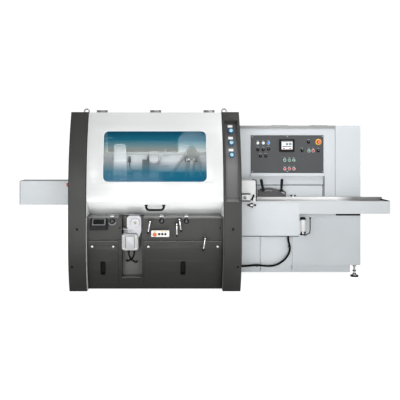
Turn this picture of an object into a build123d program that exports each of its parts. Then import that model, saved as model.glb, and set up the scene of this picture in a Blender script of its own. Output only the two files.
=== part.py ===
from build123d import *
import os
from math import asin, atan2, cos, degrees, radians, sin, sqrt, tan

# Four-sided planer-moulder: a bow-fronted enclosure between two pillars, a long infeed table, a control
# cabinet and a short covered outfeed. Millimetres, +Z up. Work travels along -X, -Y is the operator's side,
# and the origin lies on the floor under the middle of the machine.

# Overall sizes
enclosure_width = 1655
infeed_reach = 1568.5
outfeed_reach = 548.5
machine_depth = 1500
enclosure_height = 1738
table_height = 840

# Sheet metal, gaps and fits
sheet = 4
shut_gap = 2
seat_gap = 0.3
running_fit = 0.05

# Bowed front shared by the pillars, the hood and the lower panels
pillar_width = 173
pillar_edge_radius = 10
pillar_wall = 6
bow_upper_radius = 1800
bow_upper_start = 900
bow_lower_radius = 1170
bow_lower_start = 450

# Work path through the machine
fence_inset = 605
work_width = 205
rail_thickness = 25
rail_height = 25
bed_plate = 40
passage_room = 5
passage_height = 200

# Gauges in the recess of the infeed pillar
gauge_recess_width = 126
gauge_recess_depth = 40
gauge_recess_low = 872
gauge_recess_high = 1655
gauge_recess_slope = 30
gauge_radius = 28
gauge_thickness = 22
gauge_pitch = 116
gauge_middle_height = 1431

# Hood, its window, handle and hinges
hood_inset = 8
hood_drop = 4
crease_height = 875
lip_end_height = 723
lip_end_inset = 305
cheek_depth = 130
window_width = 998
window_height = 492
window_low = 1058
window_corner = 50
window_lap = 25
window_thickness = 5
handle_width = 170
handle_radius = 11
handle_reach = 50
handle_place = 95
hinge_inset = 690
hinge_pin_radius = 5
hinge_knuckle_radius = 10
hinge_knuckle = 60
hinge_spacing = 970
hinge_leaf = 50

# Roof openings, spigots and lifting eyes
roof_thickness = 6
rear_wall = 6
spigot_pitch = 590
spigot_behind_hinge = 210
spigot_radius = 60
spigot_wall = 3
spigot_height = 57
spigot_flange = 4
eye_ring_radius = 25
eye_bar_radius = 8
eye_collar_radius = 20
eye_collar_height = 10

# Base, bed and guide columns
base_wall = 12
base_front_inset = 210
base_height = 560
bed_front_inset = 320
bed_behind_fence = 245
bed_wall = 40
spindle_boss_radius = 45
column_radius = 35
column_behind_fence = 205
column_from_pillar = 95
column_top = 1560

# Spindles and their motors
cutter_radius = 62
knife_projection = 7
cutter_gullet_radius = 11
cutter_knives = 4
knife_thickness = 6
knife_depth = 18
side_cutter_length = 120
flat_cutter_length = 230
spindle_shaft_radius = 20
spindle_nose = 8
side_cutter_lift = 5
spindle_motor_radius = 88
spindle_motor_length = 300
spindle_tail_depth = 55
bottom_spindle_station = 124.5
right_spindle_station = 324.5
left_spindle_station = 524.5
top_spindle_station = 294.5
left_cut_width = 135
cutter_room = 8

# Feed beam, its rollers and fittings
dust_hood_depth = 82
dust_hood_top = 1423
dust_hood_foot_width = 154
dust_hood_top_width = 116
dust_hood_corner = 34
gear_case_shift = -13
gear_case_rise = 142
gear_case_radius = 62
gear_leg_shift = -98
gear_leg_width = 68
gear_leg_depth = 60
bracket_shift = 371
bracket_width = 134
bracket_rise = 106
bracket_height = 164
bracket_plate = 14
lift_housing_shift = 385.5
lift_housing_width = 295
lift_housing_height = 205
post_from_beam_end = 109.5
post_bar_radius = 12
post_bar_height = 220
beam_low = 1133
beam_high = 1340
beam_depth = 150
beam_before_fence = 5
beam_end_gap = 40
work_thickness = 20
roller_radius = 70
roller_width = 60
roller_shaft_radius = 15
roller_teeth = 16
roller_tooth_cut = 5
first_roller_station = 84.5
middle_roller_shift = -10
last_roller_spacing = 180
roller_cheek = 15
roller_side_gap = 3

# Lower fascia, motor recess and lower panels
fascia_inset = 90
fascia_thickness = 20
ledge_height = 715
ledge_thickness = 15
ledge_rear_inset = 310
door_inset = 70
door_thickness = 20
door_skin = 4
door_rim = 20
door_low = 8
door_top = 488
door_pivot_height = 20
door_pivot_radius = 4
post_offset = 302
post_width = 242
post_thickness = 30
recess_offset = 334
recess_width = 195
recess_low = 133
recess_depth = 120
pull_width = 42
pull_height = 132
pull_depth = 31
pull_wall = 4
pull_middle_height = 224
knob_drop = 50
knob_edge_offset = 46
knob_radius = 14
knob_length = 20
knob_shaft_radius = 6

# Front controls
dial_places = (242, 719, 956)
dial_height = 679
dial_radius = 26
dial_length = 34
dial_shaft_radius = 8
counter_width = 46
counter_depth = 30
counter_height = 20
lever_places = ((609, 684, -11), (863, 659, 0), (888, 703, 8), (1134, 521, -10))
lever_length = 112
lever_rod_radius = 5
lever_hub_radius = 12
lever_tip_radius = 8
lever_shaft_radius = 7
lever_standoff = 76
readout_offset = 34
readout_width = 164
readout_low = 600
readout_front_height = 41
readout_high = 708
readout_reach = 75
box_offset = 615
box_width = 180
box_low = 531
box_height = 69
box_reach = 55
box_stop_offset = 38
box_button_offset = 80
box_button_pitch = 30

# Stop buttons
stop_head_radius = 20
stop_head_height = 16
stop_stem_radius = 8
stop_stem_depth = 11
stop_lift = 9
stop_collar_radius = 32
stop_collar_height = 6
small_stop_radius = 16
side_stop_inset = 120
side_stop_height = 1027

# Lift gearmotor
gearbox_width = 136
gearbox_low = 607
gearbox_high = 735
gearbox_reach = 64
gearbox_depth = 124
gear_boss_radius = 43
gear_boss_length = 14
terminal_width = 160
terminal_height = 163
terminal_depth = 52
lift_motor_radius = 70
cable_radius = 8

# Cabinet and control panel
cabinet_behind_fence = 75
cabinet_end_inset = 207
cabinet_low = 130
cabinet_high = 1621
cabinet_strip = 34
cabinet_block_width = 266
cabinet_step = 20
plinth_low = 49
plinth_inset = 30
plinth_end_inset = 309
vent_width = 170
vent_height = 14
panel_left_offset = 193
panel_width = 776
panel_low = 1115
panel_height = 402
panel_thickness = 12
screen_width = 159
screen_height = 135
screen_depth = 18
screen_offset = 303
screen_top_gap = 43
control_radius = 11
bezel_radius = 15
bezel_height = 4
control_height = 12

# Infeed table, side box, fence and cover
apron_drop = 129
infeed_plate = 18
side_box_width = 640
side_box_low = 483
side_box_flange = 12
cover_length = 200
cover_height = 210
fence_left_offset = 259.5
fence_width = 290
fence_plate = 22
fence_top = 937
fence_crown = 962
fence_valley_offset = 212
fence_end_top = 916
fence_slot_height = 13
fence_slot_drop = 30
fence_slot_spread = 40
fence_end_slot_drop = 24
fence_pivot_z = 938
fence_handle_places = (306, 497)
fence_handle_leans = (-11, 3)
fence_handle_length = 104
fence_handle_radius = 14
fence_handle_foot_radius = 8
fence_hub_radius = 16
star_knob_offset = 153
star_knob_height = 800
star_knob_radius = 25
star_knob_length = 22
star_knob_lobes = 5

# Lubricator pump
pump_offset = 49
pump_inset = 50
pump_radius = 31
pump_low = 487
pump_base_height = 38
pump_tank_height = 123
pump_cap_height = 22
pump_lever_reach = 38
pump_pivot_offset = 64
pump_pivot_height = 493
pump_lever_radius = 5
pump_ball_radius = 10
pump_hub_radius = 11
pump_pin_radius = 4

# Conduit and feet
conduit_radius = 11
gland_radius = 18
gland_length = 20
conduit_standoff = 40
conduit_low = 127
foot_pad_radius = 42
foot_pad_height = 14
foot_stem_radius = 10
foot_nut_radius = 18
foot_x_inset = 258
foot_front_inset = 45
foot_rear_inset = 60

# Outfeed
outfeed_apron = 35
outfeed_cover_height = 242
outfeed_cover_gap = 8

# Places that follow from the sizes above
overall_length = infeed_reach + enclosure_width + outfeed_reach
infeed_end = overall_length / 2
outfeed_end = -overall_length / 2
enclosure_left = outfeed_end + outfeed_reach
enclosure_right = infeed_end - infeed_reach
bay_left = enclosure_left + pillar_width
bay_right = enclosure_right - pillar_width
bay_middle = (bay_left + bay_right) / 2
front = -machine_depth / 2
rear = machine_depth / 2
fence_face = front + fence_inset
table_front = fence_face - work_width
table_rear = fence_face + rail_thickness
fascia_face = front + fascia_inset
fascia_back = fascia_face + fascia_thickness
post_left = bay_left + post_offset
post_right = post_left + post_width
recess_left = bay_left + recess_offset
recess_right = recess_left + recess_width
recess_back = fascia_face + recess_depth
hinge_y = front + hinge_inset
hinge_z = enclosure_height + hinge_knuckle_radius + 1
spigot_y = hinge_y + spigot_behind_hinge
bed_front = front + bed_front_inset
bed_rear = fence_face + bed_behind_fence
column_y = fence_face + column_behind_fence
cutter_body_radius = cutter_radius - knife_projection
cutter_under_z = table_height - cutter_radius
cutter_over_z = table_height + work_thickness + cutter_radius
bottom_spindle_x = bay_right - bottom_spindle_station
right_spindle_x = bay_right - right_spindle_station
right_spindle_y = fence_face + cutter_radius
left_spindle_x = bay_right - left_spindle_station
left_spindle_y = fence_face - left_cut_width - cutter_radius
top_spindle_x = bay_left + top_spindle_station
beam_rear = fence_face - beam_before_fence
beam_front = beam_rear - beam_depth
roller_places = (
    bay_right - first_roller_station,
    bay_middle + middle_roller_shift,
    top_spindle_x + last_roller_spacing,
)
roller_z = table_height + work_thickness + roller_radius
roller_y = (beam_front + beam_rear) / 2
column_places = (bay_left + column_from_pillar, bay_right - column_from_pillar)
knob_height = door_top - knob_drop
side_stop_y = front + side_stop_inset
gearbox_front = fascia_face - gearbox_reach
gearbox_rear = gearbox_front + gearbox_depth
cabinet_front = fence_face + cabinet_behind_fence
cabinet_left = enclosure_right + seat_gap
cabinet_right = infeed_end - cabinet_end_inset
cabinet_face = cabinet_front + cabinet_step
plinth_front = cabinet_front + plinth_inset
foot_front_y = cabinet_front + foot_front_inset
foot_rear_y = rear - foot_rear_inset
conduit_y = cabinet_front - conduit_standoff
panel_left = enclosure_right + panel_left_offset
panel_face = cabinet_face - seat_gap - panel_thickness
side_box_left = enclosure_right + seat_gap
side_box_right = side_box_left + side_box_width
fence_left = enclosure_right + fence_left_offset
fence_low = table_height + rail_height + seat_gap
pump_y = table_front + pump_inset
pump_lever_y = pump_y - pump_lever_reach

os.makedirs("parts", exist_ok=True)


def across(x):
    """Plane square to the feed at x: sketch x is depth, sketch y is height."""
    return Plane.YZ.offset(x)


def facing_front(y):
    """Plane facing the operator at depth y: sketch x is length, sketch y is height."""
    return Plane.XZ.offset(-y)


def block(x, y, z, mode=Mode.ADD):
    """Box between two limits along the length, the depth and the height."""
    with Locations(((x[0] + x[1]) / 2, (y[0] + y[1]) / 2, (z[0] + z[1]) / 2)):
        Box(x[1] - x[0], y[1] - y[0], z[1] - z[0], mode=mode)


def round_bar(start, direction, length, radius, mode=Mode.ADD):
    """Round bar, or hole, from a start point along a direction."""
    with BuildSketch(Plane(origin=start, z_dir=direction)) as section:
        Circle(radius)
    extrude(section.sketch, amount=length, mode=mode)


def save(piece, name):
    """Label a finished piece and write it to its own file."""
    piece.part.label = name
    export_step(piece.part, f"parts/{name}.step")


def bow_y(z, inset=0):
    """Depth of the bowed front at height z, a given inset behind the pillars' face."""
    if z > bow_upper_start:
        radius = bow_upper_radius - inset
        rise = z - bow_upper_start
    elif z < bow_lower_start:
        radius = bow_lower_radius - inset
        rise = bow_lower_start - z
    else:
        return front + inset
    return front + inset + radius - sqrt(radius**2 - rise**2)


def bow_point(z, inset=0):
    """Sketch point on the bowed front at height z."""
    return (bow_y(z, inset), z)


def bow_edge(low, high, inset=0):
    """Bowed front edge between two heights: lower arc, straight middle and upper arc."""
    stops = [low]
    stops += [z for z in (bow_lower_start, bow_upper_start) if low < z < high]
    stops.append(high)
    for z, next_z in zip(stops, stops[1:]):
        if bow_lower_start <= z and next_z <= bow_upper_start:
            Line(bow_point(z, inset), bow_point(next_z, inset))
        else:
            ThreePointArc(bow_point(z, inset), bow_point((z + next_z) / 2, inset), bow_point(next_z, inset))


def bow_body(x, low, high, inset, back):
    """Outline from the bowed front to a straight back, on the plane at x."""
    with BuildSketch(across(x)) as outline:
        with BuildLine():
            bow_edge(low, high, inset)
            Polyline(bow_point(high, inset), (back, high), (back, low), bow_point(low, inset))
        make_face()
    return outline.sketch


def bow_band(x, low, high, inset, depth):
    """Outline of a curved panel that follows the bow, on the plane at x."""
    with BuildSketch(across(x)) as outline:
        with BuildLine():
            bow_edge(low, high, inset)
            Line(bow_point(high, inset), bow_point(high, inset + depth))
            bow_edge(low, high, inset + depth)
            Line(bow_point(low, inset + depth), bow_point(low, inset))
        make_face()
    return outline.sketch


def bow_normal_plane(x, z, inset):
    """Plane on the bowed front at a height, facing straight out of it."""
    if z > bow_upper_start:
        lean = asin((z - bow_upper_start) / (bow_upper_radius - inset))
    else:
        lean = -asin(max(bow_lower_start - z, 0) / (bow_lower_radius - inset))
    return Plane(origin=(x, bow_y(z, inset), z), x_dir=(1, 0, 0), z_dir=(0, -cos(lean), sin(lean)))


# Door pivot line, where the lower panels hook into the pillars and the middle post
door_pivot_y = bow_y(door_pivot_height, door_inset + door_thickness / 2)


def pillar(left, inner, inward, front_wall):
    """Bow-fronted hollow end pillar with the work's passage and the bore of the lower panel's pivot."""
    passage_y = (table_front - passage_room, table_rear + passage_room)
    passage_z = (table_height - bed_plate - 5, table_height + passage_height)
    with BuildPart() as cavity:
        inside = bow_body(
            left + pillar_wall, pillar_wall, enclosure_height - pillar_wall, front_wall, rear - pillar_wall
        )
        extrude(inside, amount=pillar_width - 2 * pillar_wall)
        block(
            (left, left + pillar_width),
            (passage_y[0] - pillar_wall, passage_y[1] + pillar_wall),
            (passage_z[0] - pillar_wall, passage_z[1] + pillar_wall),
            Mode.SUBTRACT,
        )
    with BuildPart() as column:
        extrude(bow_body(left, 0, enclosure_height, 0, rear), amount=pillar_width)
        long_edges = column.edges().filter_by(
            lambda e: e.center().Y < bow_y(enclosure_height) and abs(e.tangent_at(0.5).X) < 0.1
        )
        fillet(long_edges.filter_by(lambda e: e.length > pillar_width), pillar_edge_radius)
        add(cavity.part, mode=Mode.SUBTRACT)
        block((left - 1, left + pillar_width + 1), passage_y, passage_z, Mode.SUBTRACT)
        start = (inner, door_pivot_y, door_pivot_height)
        round_bar(start, (inward, 0, 0), 8, door_pivot_radius + running_fit, Mode.SUBTRACT)
    return column


# Left pillar, with the collar of the outfeed stop button on its outer side
left_pillar = pillar(enclosure_left, bay_left, -1, pillar_wall)
with left_pillar:
    collar_start = (enclosure_left, side_stop_y, side_stop_height)
    round_bar(collar_start, (-1, 0, 0), stop_collar_height, stop_collar_radius)
    bore_start = (enclosure_left - stop_collar_height, side_stop_y, side_stop_height)
    round_bar(bore_start, (1, 0, 0), stop_stem_depth + 8, stop_stem_radius + seat_gap, Mode.SUBTRACT)
save(left_pillar, "left_pillar")

# Right pillar, with the long gauge recess and the conduit's gland
right_pillar = pillar(bay_right, bay_right, 1, gauge_recess_depth + pillar_wall)
gauge_x = bay_right + pillar_width / 2
with right_pillar:
    with BuildSketch(across(gauge_x - gauge_recess_width / 2)) as recess_outline:
        with BuildLine():
            bow_edge(gauge_recess_low, gauge_recess_high, -1)
            Line(
                bow_point(gauge_recess_high, -1),
                bow_point(gauge_recess_high - gauge_recess_slope, gauge_recess_depth),
            )
            bow_edge(
                gauge_recess_low + gauge_recess_slope,
                gauge_recess_high - gauge_recess_slope,
                gauge_recess_depth,
            )
            Line(
                bow_point(gauge_recess_low + gauge_recess_slope, gauge_recess_depth),
                bow_point(gauge_recess_low, -1),
            )
        make_face()
    extrude(recess_outline.sketch, amount=gauge_recess_width, mode=Mode.SUBTRACT)
    gland_start = (enclosure_right, conduit_y, conduit_low)
    round_bar(gland_start, (1, 0, 0), gland_length, gland_radius)
save(right_pillar, "right_pillar")

# Pressure gauges: a domed round case on each, square to the recess floor
with BuildPart() as pressure_gauges:
    for step in (-1, 0, 1):
        seat = bow_normal_plane(gauge_x, gauge_middle_height + step * gauge_pitch, gauge_recess_depth)
        with BuildSketch(seat.offset(seat_gap)) as case:
            Circle(gauge_radius)
        extrude(case.sketch, amount=gauge_thickness)
        with BuildSketch(seat.offset(seat_gap + gauge_thickness)) as dish:
            Circle(gauge_radius - 4)
        extrude(dish.sketch, amount=-3, mode=Mode.SUBTRACT)
save(pressure_gauges, "pressure_gauges")

# Rear cover: back wall and roof folded from one sheet, with hinge knuckles and their pins
roof_front = hinge_y + shut_gap
knuckle_places = (bay_middle - hinge_spacing / 2, bay_middle + hinge_spacing / 2)
spigot_places = (bay_middle - spigot_pitch, bay_middle, bay_middle + spigot_pitch)
with BuildPart() as rear_cover:
    with BuildSketch(across(bay_left + seat_gap)):
        with BuildLine():
            Polyline(
                (roof_front, enclosure_height),
                (rear, enclosure_height),
                (rear, door_low),
                (rear - rear_wall, door_low),
                (rear - rear_wall, enclosure_height - roof_thickness),
                (roof_front, enclosure_height - roof_thickness),
                close=True,
            )
        make_face()
    extrude(amount=bay_right - bay_left - 2 * seat_gap)
    for x in spigot_places:
        hole_start = (x, spigot_y, enclosure_height + 1)
        round_bar(hole_start, (0, 0, -1), roof_thickness + 2, spigot_radius - spigot_wall, Mode.SUBTRACT)
    for x in knuckle_places:
        for side in (-1, 1):
            outer = x + side * hinge_knuckle * 1.5
            inner = x + side * (hinge_knuckle / 2 + seat_gap)
            ends = (min(outer, inner), max(outer, inner))
            round_bar((ends[0], hinge_y, hinge_z), (1, 0, 0), ends[1] - ends[0], hinge_knuckle_radius)
            leaf_y = (hinge_y + shut_gap, hinge_y + hinge_leaf)
            block(ends, leaf_y, (enclosure_height - 1, enclosure_height + 5))
            block(ends, (hinge_y + shut_gap, hinge_y + 8), (enclosure_height, hinge_z))
        pin_start = (x - hinge_knuckle, hinge_y, hinge_z)
        round_bar(pin_start, (1, 0, 0), 2 * hinge_knuckle, hinge_pin_radius)
save(rear_cover, "rear_cover")

# Dust spigots on the roof
with BuildPart() as dust_spigots:
    for x in spigot_places:
        foot = (x, spigot_y, enclosure_height)
        round_bar(foot, (0, 0, 1), spigot_height, spigot_radius)
        round_bar(foot, (0, 0, 1), sheet, spigot_radius + spigot_flange)
    for x in spigot_places:
        foot = (x, spigot_y, enclosure_height)
        round_bar(foot, (0, 0, 1), spigot_height, spigot_radius - spigot_wall, Mode.SUBTRACT)
save(dust_spigots, "dust_spigots")

# Lifting eyes on the pillars
with BuildPart() as lifting_eyes:
    for x in (enclosure_left + pillar_width / 2, enclosure_right - pillar_width / 2):
        round_bar((x, 0, enclosure_height), (0, 0, 1), eye_collar_height, eye_collar_radius)
        ring_z = enclosure_height + eye_collar_height + eye_ring_radius + eye_bar_radius - 4
        with Locations(Location((x, 0, ring_z), (90, 0, 0))):
            Torus(eye_ring_radius, eye_bar_radius)
save(lifting_eyes, "lifting_eyes")

# Hood: bowed skin with a flat top and a lip folded under, stiffened by a cheek at each end
hood_left = bay_left + shut_gap
hood_width = bay_right - bay_left - 2 * shut_gap
hood_top = enclosure_height - hood_drop
hood_rear = hinge_y - shut_gap
lip_end = (front + lip_end_inset, lip_end_height)
crease = bow_point(crease_height, hood_inset)
lip_fall = atan2(crease[1] - lip_end[1], lip_end[0] - crease[0])
fold = sheet * tan((radians(90) - lip_fall) / 2)
lip_inner = (lip_end[0] + sheet * sin(lip_fall), lip_end[1] + sheet * cos(lip_fall))
with BuildPart() as hood:
    with BuildSketch(across(hood_left)) as skin:
        with BuildLine():
            Line((hood_rear, hood_top), bow_point(hood_top, hood_inset))
            bow_edge(crease_height, hood_top, hood_inset)
            Polyline(crease, lip_end, lip_inner, (front + hood_inset + sheet, crease_height + fold))
            bow_edge(crease_height + fold, hood_top - sheet, hood_inset + sheet)
            Polyline(
                bow_point(hood_top - sheet, hood_inset + sheet),
                (hood_rear, hood_top - sheet),
                (hood_rear, hood_top),
            )
        make_face()
    extrude(amount=hood_width)
    cheek_low = lip_end_height + sheet
    for x in (hood_left, hood_left + hood_width - sheet):
        with BuildSketch(across(x)) as cheek:
            with BuildLine():
                bow_edge(cheek_low, hood_top - 1, hood_inset)
                Polyline(
                    bow_point(hood_top - 1, hood_inset),
                    (hood_rear, hood_top - 1),
                    (hood_rear, hood_top - cheek_depth),
                    bow_point(hood_top - cheek_depth, hood_inset + cheek_depth),
                )
                bow_edge(crease_height, hood_top - cheek_depth, hood_inset + cheek_depth)
                Polyline(
                    bow_point(crease_height, hood_inset + cheek_depth),
                    (lip_end[0], cheek_low),
                    bow_point(cheek_low, hood_inset),
                )
            make_face()
        extrude(cheek.sketch, amount=sheet)
    with BuildSketch(facing_front(front)) as window_hole:
        with Locations((bay_middle, window_low + window_height / 2)):
            RectangleRounded(window_width, window_height, window_corner)
    extrude(window_hole.sketch, amount=-machine_depth / 3, mode=Mode.SUBTRACT)
    for x in knuckle_places:
        knuckle_start = (x - hinge_knuckle / 2, hinge_y, hinge_z)
        ends = (x - hinge_knuckle / 2, x + hinge_knuckle / 2)
        round_bar(knuckle_start, (1, 0, 0), hinge_knuckle, hinge_knuckle_radius)
        block(ends, (hinge_y - hinge_leaf, hinge_y - shut_gap), (hood_top - 1, enclosure_height + 5))
        block(ends, (hinge_y - 8, hinge_y - shut_gap), (hood_top, hinge_z))
        round_bar(knuckle_start, (1, 0, 0), hinge_knuckle, hinge_pin_radius + running_fit, Mode.SUBTRACT)
save(hood, "hood")

# Window pane, bowed like the skin and seated behind it
with BuildPart() as hood_window:
    with BuildSketch(facing_front(front)) as pane_outline:
        with Locations((bay_middle, window_low + window_height / 2)):
            RectangleRounded(
                window_width + 2 * window_lap, window_height + 2 * window_lap, window_corner + window_lap
            )
    extrude(pane_outline.sketch, amount=-machine_depth / 3)
    blank_low = window_low - 2 * window_lap
    blank_high = window_low + window_height + 2 * window_lap
    blank = bow_band(hood_left, blank_low, blank_high, hood_inset + sheet + seat_gap, window_thickness)
    extrude(blank, amount=hood_width, mode=Mode.INTERSECT)
save(hood_window, "hood_window")

# Hood handle: a bow of round bar standing off the lip
handle_out = Vector(0, -sin(lip_fall), -cos(lip_fall))
handle_foot = Vector(0, crease[0] + handle_place * cos(lip_fall), crease[1] - handle_place * sin(lip_fall))
handle_reach_end = handle_foot + handle_out * handle_reach
handle_left = bay_middle - handle_width / 2
handle_right = bay_middle + handle_width / 2
with BuildPart() as hood_handle:
    with BuildLine() as bow_bar:
        FilletPolyline(
            (handle_left, handle_foot.Y, handle_foot.Z),
            (handle_left, handle_reach_end.Y, handle_reach_end.Z),
            (handle_right, handle_reach_end.Y, handle_reach_end.Z),
            (handle_right, handle_foot.Y, handle_foot.Z),
            radius=3 * handle_radius,
        )
    with BuildSketch(Plane(origin=(handle_left, handle_foot.Y, handle_foot.Z), z_dir=handle_out)):
        Circle(handle_radius)
    sweep(path=bow_bar.wire())
save(hood_handle, "hood_handle")

# Base frame: floor plate, rear wall, end walls and the two walls beside the motor recess
base_front = front + base_front_inset
base_left = bay_left + seat_gap
base_right = bay_right - seat_gap
base_rear = rear - rear_wall - seat_gap
with BuildPart() as base_frame:
    block((base_left, base_right), (base_front, base_rear), (0, base_wall))
    block((base_left, base_right), (base_rear - base_wall, base_rear), (0, base_height))
    for x in (base_left, recess_left - 2 * base_wall, recess_right + base_wall, base_right - base_wall):
        block((x, x + base_wall), (base_front, base_rear), (0, base_height))
save(base_frame, "base_frame")

# Space under the bed casting, with the bosses of the two upright spindles left standing
slot_half = cutter_radius + cutter_room
with BuildPart() as bed_hollow:
    block(
        (base_left + bed_wall, bottom_spindle_x - slot_half - bed_wall),
        (bed_front + bed_wall, bed_rear - bed_wall),
        (base_height - 1, table_height - bed_plate - bed_wall),
    )
    for place in ((right_spindle_x, right_spindle_y), (left_spindle_x, left_spindle_y)):
        round_bar((*place, base_height - 1), (0, 0, 1), table_height, spindle_boss_radius, Mode.SUBTRACT)

# Machine bed: cast body, table plate through both pillars, fence and guide columns
with BuildPart() as machine_bed:
    block((base_left, base_right), (bed_front, bed_rear), (base_height, table_height - bed_plate))
    through = (enclosure_left, enclosure_right)
    block(through, (table_front, table_rear), (table_height - bed_plate, table_height))
    block(through, (fence_face, table_rear), (table_height, table_height + 2 * rail_height))
    add(bed_hollow.part, mode=Mode.SUBTRACT)
    for x in (right_spindle_x, top_spindle_x):
        block(
            (x - slot_half, x + slot_half),
            (fence_face - 1, table_rear + 1),
            (table_height, table_height + 2 * rail_height + 1),
            Mode.SUBTRACT,
        )
    block(
        (bottom_spindle_x - slot_half, bottom_spindle_x + slot_half),
        (table_front - 1, table_rear + cutter_room),
        (cutter_under_z - slot_half, table_height + 2 * rail_height + 1),
        Mode.SUBTRACT,
    )
    shaft_bore = spindle_shaft_radius + running_fit
    bore_start = (bottom_spindle_x, table_front - 2 * spindle_nose, cutter_under_z)
    round_bar(bore_start, (0, 1, 0), bed_rear + 1 - bore_start[1], shaft_bore, Mode.SUBTRACT)
    for place in ((right_spindle_x, right_spindle_y), (left_spindle_x, left_spindle_y)):
        bore_length = table_height - base_height
        round_bar((*place, base_height - 1), (0, 0, 1), bore_length, shaft_bore, Mode.SUBTRACT)
        plate_low = table_height - bed_plate
        round_bar((*place, plate_low), (0, 0, 1), bed_plate + 1, shaft_bore + cutter_room, Mode.SUBTRACT)
    for x in column_places:
        column_foot = (x, column_y, table_height - bed_plate)
        round_bar(column_foot, (0, 0, 1), column_top - column_foot[2], column_radius)
save(machine_bed, "machine_bed")


def spindle(seat, head_length, tail):
    """Cutterhead and its shaft: the head stands on the seat plane, the shaft runs back by the tail."""
    with BuildPart() as turned:
        with BuildSketch(seat.offset(-tail)):
            Circle(spindle_shaft_radius)
        extrude(amount=tail + head_length + spindle_nose)
        with BuildSketch(seat):
            Circle(cutter_body_radius)
            with PolarLocations(cutter_body_radius, cutter_knives):
                Circle(cutter_gullet_radius, mode=Mode.SUBTRACT)
            with PolarLocations(cutter_radius - knife_depth / 2, cutter_knives, start_angle=14):
                Rectangle(knife_depth, knife_thickness)
        extrude(amount=head_length)
    return turned


bottom_motor_face = bed_rear
bottom_place = (bottom_spindle_x, table_rear, cutter_under_z)
bottom_seat = Plane(origin=bottom_place, x_dir=(1, 0, 0), z_dir=(0, -1, 0))
bottom_tail = bottom_motor_face + spindle_tail_depth - table_rear
bottom_spindle = spindle(bottom_seat, flat_cutter_length, bottom_tail)
save(bottom_spindle, "bottom_spindle")

side_cutter_z = table_height + side_cutter_lift
side_tail = side_cutter_z - base_height + spindle_tail_depth
right_spindle = spindle(
    Plane(origin=(right_spindle_x, right_spindle_y, side_cutter_z)), side_cutter_length, side_tail
)
save(right_spindle, "right_spindle")
left_spindle = spindle(
    Plane(origin=(left_spindle_x, left_spindle_y, side_cutter_z)), side_cutter_length, side_tail
)
save(left_spindle, "left_spindle")

top_housing_rear = column_y
top_seat = Plane(origin=(top_spindle_x, table_rear, cutter_over_z), x_dir=(1, 0, 0), z_dir=(0, -1, 0))
top_spindle = spindle(top_seat, flat_cutter_length, top_housing_rear + spindle_tail_depth - table_rear)
save(top_spindle, "top_spindle")


def flange_motor(start, direction):
    """Finned spindle motor from its flange face along a direction, with a blind shaft bore."""
    facing = Plane(origin=start, z_dir=direction)
    with BuildPart() as motor:
        with BuildSketch(facing):
            RectangleRounded(2 * spindle_motor_radius, 2 * spindle_motor_radius, 12)
        extrude(amount=14)
        with BuildSketch(facing):
            Circle(spindle_motor_radius - 8)
            with PolarLocations(spindle_motor_radius - 8, 20):
                Rectangle(12, 4)
        extrude(amount=spindle_motor_length - 60)
        with BuildSketch(facing.offset(spindle_motor_length - 60)):
            Circle(spindle_motor_radius - 2)
        extrude(amount=60)
        with BuildSketch(facing):
            Circle(spindle_shaft_radius + running_fit)
        extrude(amount=spindle_tail_depth + 5, mode=Mode.SUBTRACT)
    return motor


# Spindle motors: two hang under the bed, one stands off its rear
with BuildPart() as spindle_motors:
    add(flange_motor((right_spindle_x, right_spindle_y, base_height), (0, 0, -1)).part)
    add(flange_motor((left_spindle_x, left_spindle_y, base_height), (0, 0, -1)).part)
    add(flange_motor((bottom_spindle_x, bottom_motor_face, cutter_under_z), (0, 1, 0)).part)
save(spindle_motors, "spindle_motors")

# Feed beam: box beam on the guide columns, roller hangers and the top spindle's housing and motor
beam_left = bay_left + beam_end_gap
beam_right = bay_right - beam_end_gap + 15
hanger_half = roller_width / 2 + roller_side_gap + roller_cheek
with BuildPart() as feed_beam:
    block((beam_left, beam_right), (beam_front, beam_rear), (beam_low, beam_high))
    fillet(feed_beam.edges().filter_by(Axis.X), 12)
    for x in column_places:
        block((x - 55, x + 55), (beam_rear - 15, column_y + 60), (beam_low + 20, beam_high - 20))
        lug_start = (x, column_y, beam_low)
        round_bar(lug_start, (0, 0, 1), beam_high - beam_low, column_radius + running_fit, Mode.SUBTRACT)
    for x in roller_places:
        hanger_bottom = roller_z + roller_radius + 30
        hanger_y = (roller_y - hanger_half, roller_y + hanger_half)
        block((x - 45, x + 45), hanger_y, (hanger_bottom, beam_low + 15))
        for side in (-1, 1):
            cheek_mid = roller_y + side * (roller_width / 2 + roller_side_gap + roller_cheek / 2)
            cheek_ends = (cheek_mid - roller_cheek / 2, cheek_mid + roller_cheek / 2)
            with BuildSketch(facing_front(cheek_ends[1])) as cheek_plate:
                with Locations((x, (roller_z + hanger_bottom) / 2)):
                    Rectangle(60, hanger_bottom - roller_z + 2)
                with Locations((x, roller_z)):
                    Circle(30)
                    Circle(roller_shaft_radius + running_fit, mode=Mode.SUBTRACT)
            extrude(cheek_plate.sketch, amount=roller_cheek)
    housing = cutter_radius - 2
    ends = (top_spindle_x - housing, top_spindle_x + housing)
    block(ends, (beam_rear - 15, top_housing_rear), (beam_low, beam_high - 30))
    block(ends, (table_rear + 20, top_housing_rear), (cutter_over_z - housing, beam_low + 1))
    housing_bore = (top_spindle_x, table_rear, cutter_over_z)
    bore_length = top_housing_rear - table_rear + 1
    round_bar(housing_bore, (0, 1, 0), bore_length, spindle_shaft_radius + running_fit, Mode.SUBTRACT)
    add(flange_motor((top_spindle_x, top_housing_rear, cutter_over_z), (0, 1, 0)).part)
save(feed_beam, "feed_beam")

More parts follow.
